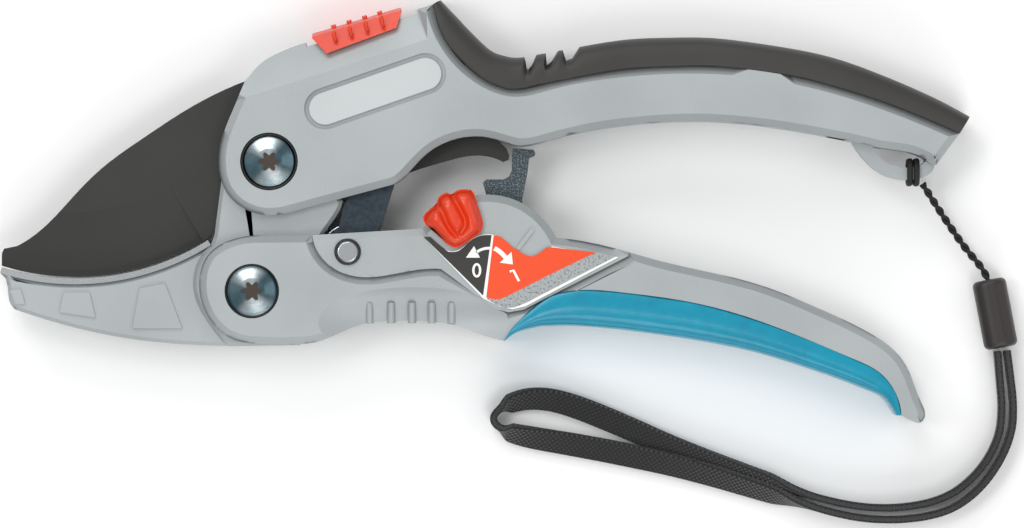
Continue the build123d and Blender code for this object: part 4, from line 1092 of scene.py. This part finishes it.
@dataclass
class Knob:
    """The thumb knob of the selector: three rounded lobes with two soft valleys."""

    outline_mm: Sequence[Flat] = (
        (41.4, -19.1), (39.6, -18.4), (38.1, -17.0), (36.4, -15.2), (34.8, -14.1), (34.1, -12.8),
        (34.6, -11.5), (36.9, -9.4), (37.6, -7.9), (39.2, -6.9), (40.4, -7.2), (41.7, -6.4),
        (43.2, -6.1), (44.8, -6.4), (45.6, -7.5), (46.3, -9.9), (47.0, -12.05), (47.4, -13.8),
        (47.0, -15.4), (45.9, -16.4), (43.2, -18.3),
    )
    valleys_mm: Sequence[Sequence[Flat]] = (
        ((36.6, -8.8), (38.2, -11.0), (39.3, -13.5), (40.3, -15.2), (41.4, -16.4)),
        ((40.3, -6.6), (41.4, -8.9), (42.5, -11.0), (43.3, -12.8), (43.3, -14.5), (42.4, -15.9)),
    )
    centre_mm: Flat = (41.7, -12.7)
    depth_mm: float = 1.3
    underside_mm: float = 19.2
    valley_half_mm: float = 0.75
    # Share of the outline and height above the underside, from the stem out to the rim.
    skirt: Sequence[Flat] = ((0.2, 0.0), (0.9, 0.0), (0.97, 0.15), (1.0, 0.5))
    dome_steps: int = 26
    dome_share: float = 0.62
    dome_power: float = 2.6

    def build(self, frame: dict, shop: Workshop) -> None:
        """Loft the knob and show it in place of the CAD one.

        Args:
            frame: The loaded frame.
            shop: Materials.
        """
        heights = [v.co.z / MM for v in frame["nodes"]["selector_knob"].data.vertices]
        low, high = min(heights), max(heights)
        edge = [Vector(p) for p in smooth_line(self.outline_mm, 6, closed=True)]
        centre = Vector(self.centre_mm)
        valleys = [[Vector(p) for p in smooth_line(v, 10)] for v in self.valleys_mm]
        rings = []
        under = max(low, self.underside_mm)
        levels = [(self.skirt[0][0], low)] + [(share, under + rise) for share, rise in self.skirt]
        for share, level in levels:
            lift = Vector((0, 0, level * MM))
            rings.append([(centre + (p - centre) * share).to_3d() * MM + lift for p in edge])
        for step in range(self.dome_steps + 1):
            share = 1.0 - 0.96 * step / self.dome_steps
            ring = []
            for p in edge:
                spot = centre + (p - centre) * share
                lean = max(0.0, (share - 0.45) / 0.55)
                dip = (high - low) * self.dome_share * (1 - math.sqrt(1 - min(lean, 1.0) ** self.dome_power))
                near = min((spot - q).length for valley in valleys for q in valley)
                dip += self.depth_mm * math.exp(-((near / self.valley_half_mm) ** 2)) * (1 - 0.6 * lean**4)
                level = max(under + 0.6, high - 0.02 - dip)
                ring.append(Vector((spot.x, spot.y, level)) * MM)
            rings.append(ring)
        piece = add_piece("selector_knob_lobed", loft(rings), Body.SELECTOR, shop["orange"])
        shade(piece, 60.0)
        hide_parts("selector_knob")


# ---- stage


@dataclass
class Studio:
    """Pale floor, soft lights and the camera straight above."""

    look_at_mm: Flat = (53.8, -22.7)
    width_mm: float = 227.6
    distance_m: float = 2.2
    # Height at which the framed width is measured.
    focus_m: float = 0.01
    sensor_mm: float = 36.0
    floor_half_m: float = 3.0
    floor_drop_m: float = 0.0006
    room_strength: float = 0.5
    aim_m: Point = (0.05, -0.02, 0.0)
    keys: Sequence[tuple[Point, Flat, float]] = (
        ((-0.15, 0.75, 0.6), (0.9, 0.4), 3.0),
        ((0.2, -0.8, 0.5), (1.0, 0.35), 2.6),
        ((0.9, 0.1, 0.6), (0.5, 0.8), 1.0),
        ((-0.25, 0.55, 1.5), (0.5, 0.5), 3.5),
        ((0.35, -0.6, 1.5), (0.5, 0.5), 3.5),
        ((-0.75, 0.1, 1.6), (0.5, 0.5), 4.5),
    )

    def build(self) -> None:
        """Place the floor, the world, the lights and the camera."""
        bm = bmesh.new()
        bmesh.ops.create_grid(bm, x_segments=1, y_segments=1, size=self.floor_half_m)
        bmesh.ops.translate(bm, verts=bm.verts, vec=(0, 0, -self.floor_drop_m))
        mesh = bpy.data.meshes.new("studio_floor")
        bm.to_mesh(mesh)
        bm.free()
        floor = bpy.data.objects.new("studio_floor", mesh)
        bpy.context.scene.collection.objects.link(floor)
        paper = bpy.data.materials.new("white_paper")
        paper.use_nodes = True
        shader = paper.node_tree.nodes["Principled BSDF"]
        shader.inputs["Base Color"].default_value = linear("#FAFAFA")
        shader.inputs["Roughness"].default_value = 0.9
        mesh.materials.append(paper)
        world = bpy.data.worlds.new("soft_room")
        world.use_nodes = True
        room = world.node_tree.nodes["Background"]
        room.inputs["Color"].default_value = (1, 1, 1, 1)
        room.inputs["Strength"].default_value = self.room_strength
        bpy.context.scene.world = world
        for number, (place, size, power) in enumerate(self.keys):
            data = bpy.data.lights.new(f"soft_box_{number}", "AREA")
            data.shape = "RECTANGLE"
            data.size, data.size_y = size
            data.energy = power
            lamp = bpy.data.objects.new(f"soft_box_{number}", data)
            lamp.location = place
            aim = Vector(self.aim_m) - Vector(place)
            lamp.rotation_euler = aim.to_track_quat("-Z", "Y").to_euler()
            bpy.context.scene.collection.objects.link(lamp)
        lens = bpy.data.cameras.new("overhead")
        lens.sensor_width = self.sensor_mm
        lens.lens = self.sensor_mm * (self.distance_m - self.focus_m) / (self.width_mm * MM)
        lens.clip_end = 20.0
        camera = bpy.data.objects.new("overhead", lens)
        camera.location = (self.look_at_mm[0] * MM, self.look_at_mm[1] * MM, self.distance_m)
        bpy.context.scene.collection.objects.link(camera)
        bpy.context.scene.camera = camera
        bpy.context.scene.view_settings.view_transform = "Standard"


# ---- assembly


@dataclass
class Shears:
    """The whole tool."""

    finishes: dict[str, str] = field(
        default_factory=lambda: {
            "badge_plate": "badge", "anvil_pad": "steel", "anvil_dowels": "steel",
            "lanyard_knot": "string", "lanyard_bead": "bead", "blade": "blade", "blade_bush": "steel",
            "dial_plate": "ink_white", "handle_washers": "steel", "link_rivet": "steel",
            "return_spring": "steel", "hook_pin": "steel", "selector_spindle": "steel",
            "link_plates": "link", "link_pin": "steel", "tail_hook": "hook", "lock_bolt": "steel",
        }
    )
    shells: Sequence[Shell] = (
        Shell(
            "upper_handle", Body.FRAME, "cast", "cast", 1.6,
            spare=(
                (0.0, 0.0, 7.4), (12.4, 11.7, 5.4), (34.6, 19.4, 5.4), (23.5, 15.5, 8.5),
                (18.0, 13.6, 5.6), (29.0, 17.5, 5.6), (110.0, 21.0, 6.5),
            ),
        ),
        Shell("lock_slider", Body.LOCK, "orange", "orange", 0.45, 2, flats_mm=()),
        Shell(
            "anvil_body", Body.FRAME, "cast", "cast", 0.8,
            spare=((-4.6, -13.5, 7.0),), flats_mm=(5.1, 13.9, 4.4, 14.6),
        ),
        Shell(
            "lower_handle", Body.SQUEEZE, "cast", "cast", 1.6,
            spare=((-3.8, -28.7, 7.4), (17.4, -20.0, 3.4), (52.0, -39.7, 4.0), (140.5, -56.5, 4.0)),
            flats_mm=(0.0, 18.5, 19.0), spare_line=LOWER_SEAM,
        ),
    )
    # Black rings as painted shade in the gaps around both bolt heads and the link rivet.
    seals: Sequence[ShadeRing] = (
        ShadeRing("blade_bolt_ring", Body.FRAME, (0.0, 0.0, 17.9), 6.1, 0.28),
        ShadeRing("handle_bolt_ring", Body.SQUEEZE, (-3.8, -28.7, 17.9), 5.85, 0.2),
        ShadeRing("link_rivet_ring", Body.SQUEEZE, (17.4, -20.0, 18.85), 2.75, 0.2),
    )
    covers: Sequence[Cover] = (
        Cover(
            "upper_grip", Body.FRAME, "cover", "cover", UPPER_SEAM,
            (
                (38.0, 35.8), (41.8, 31.8), (45.0, 28.4), (48.9, 24.8), (52.0, 23.5), (55.6, 23.1),
                (63.0, 24.4), (77.6, 26.9), (88.7, 27.5), (99.8, 27.3), (115.6, 25.1), (126.2, 22.7),
                (137.1, 18.7), (147.8, 14.0), (155.3, 10.0),
            ),
            grooves_mm=(57.9, 62.3, 66.8),
        ),
        Cover(
            "lower_grip", Body.SQUEEZE, "grip", "teal", LOWER_SEAM,
            (
                (52.2, -39.75), (54.9, -37.95), (59.5, -36.7), (63.0, -36.45), (66.4, -36.4),
                (71.0, -36.65), (78.0, -37.3), (85.0, -38.2), (92.5, -39.3), (101.0, -40.8),
                (108.5, -42.5), (117.0, -45.1), (125.5, -48.0), (131.5, -50.3), (136.0, -52.4),
                (138.7, -56.2),
            ),
        ),
    )

    def build(self, frame: dict) -> None:
        """Build every sub-assembly in order.

        Args:
            frame: The loaded frame.
        """
        shop = Workshop(Palette())
        Studio().build()
        Lanyard().build(frame, shop)
        for shell in self.shells:
            shell.build(frame, shop)
        for cover in self.covers:
            cover.build(shop)
        for name, finish in self.finishes.items():
            self.dress(frame["nodes"][name], shop[finish])
        for name, centre in (("blade_bolt", (0, 0, 19)), ("handle_bolt", (-3.8, -28.7, 19))):
            plated = Turned(
                f"zinc_plated_{name}", "#EEF3F3", "#C3D6DC", 0.2, 0.25, metallic=1.0, bump=0.06, centre=centre
            )
            self.dress(frame["nodes"][name], plated.material())
            self.dress(frame["nodes"][name.replace("bolt", "nut")], shop["steel"])
        DialPrint().build(shop)
        Knob().build(frame, shop)
        Lever().build(frame, shop)
        SliderRibs().build(frame, shop)
        for shade_ring in self.seals:
            shade_ring.build(shop)

    @staticmethod
    def dress(piece: bpy.types.Object, finish: bpy.types.Material) -> None:
        """Give a CAD node its material."""
        piece.data.materials.clear()
        piece.data.materials.append(finish)


def main() -> None:
    """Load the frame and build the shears."""
    logging.basicConfig(level=logging.INFO, format="%(name)s %(message)s")
    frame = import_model()
    Shears().build(frame)


if __name__ == "__main__":
    main()
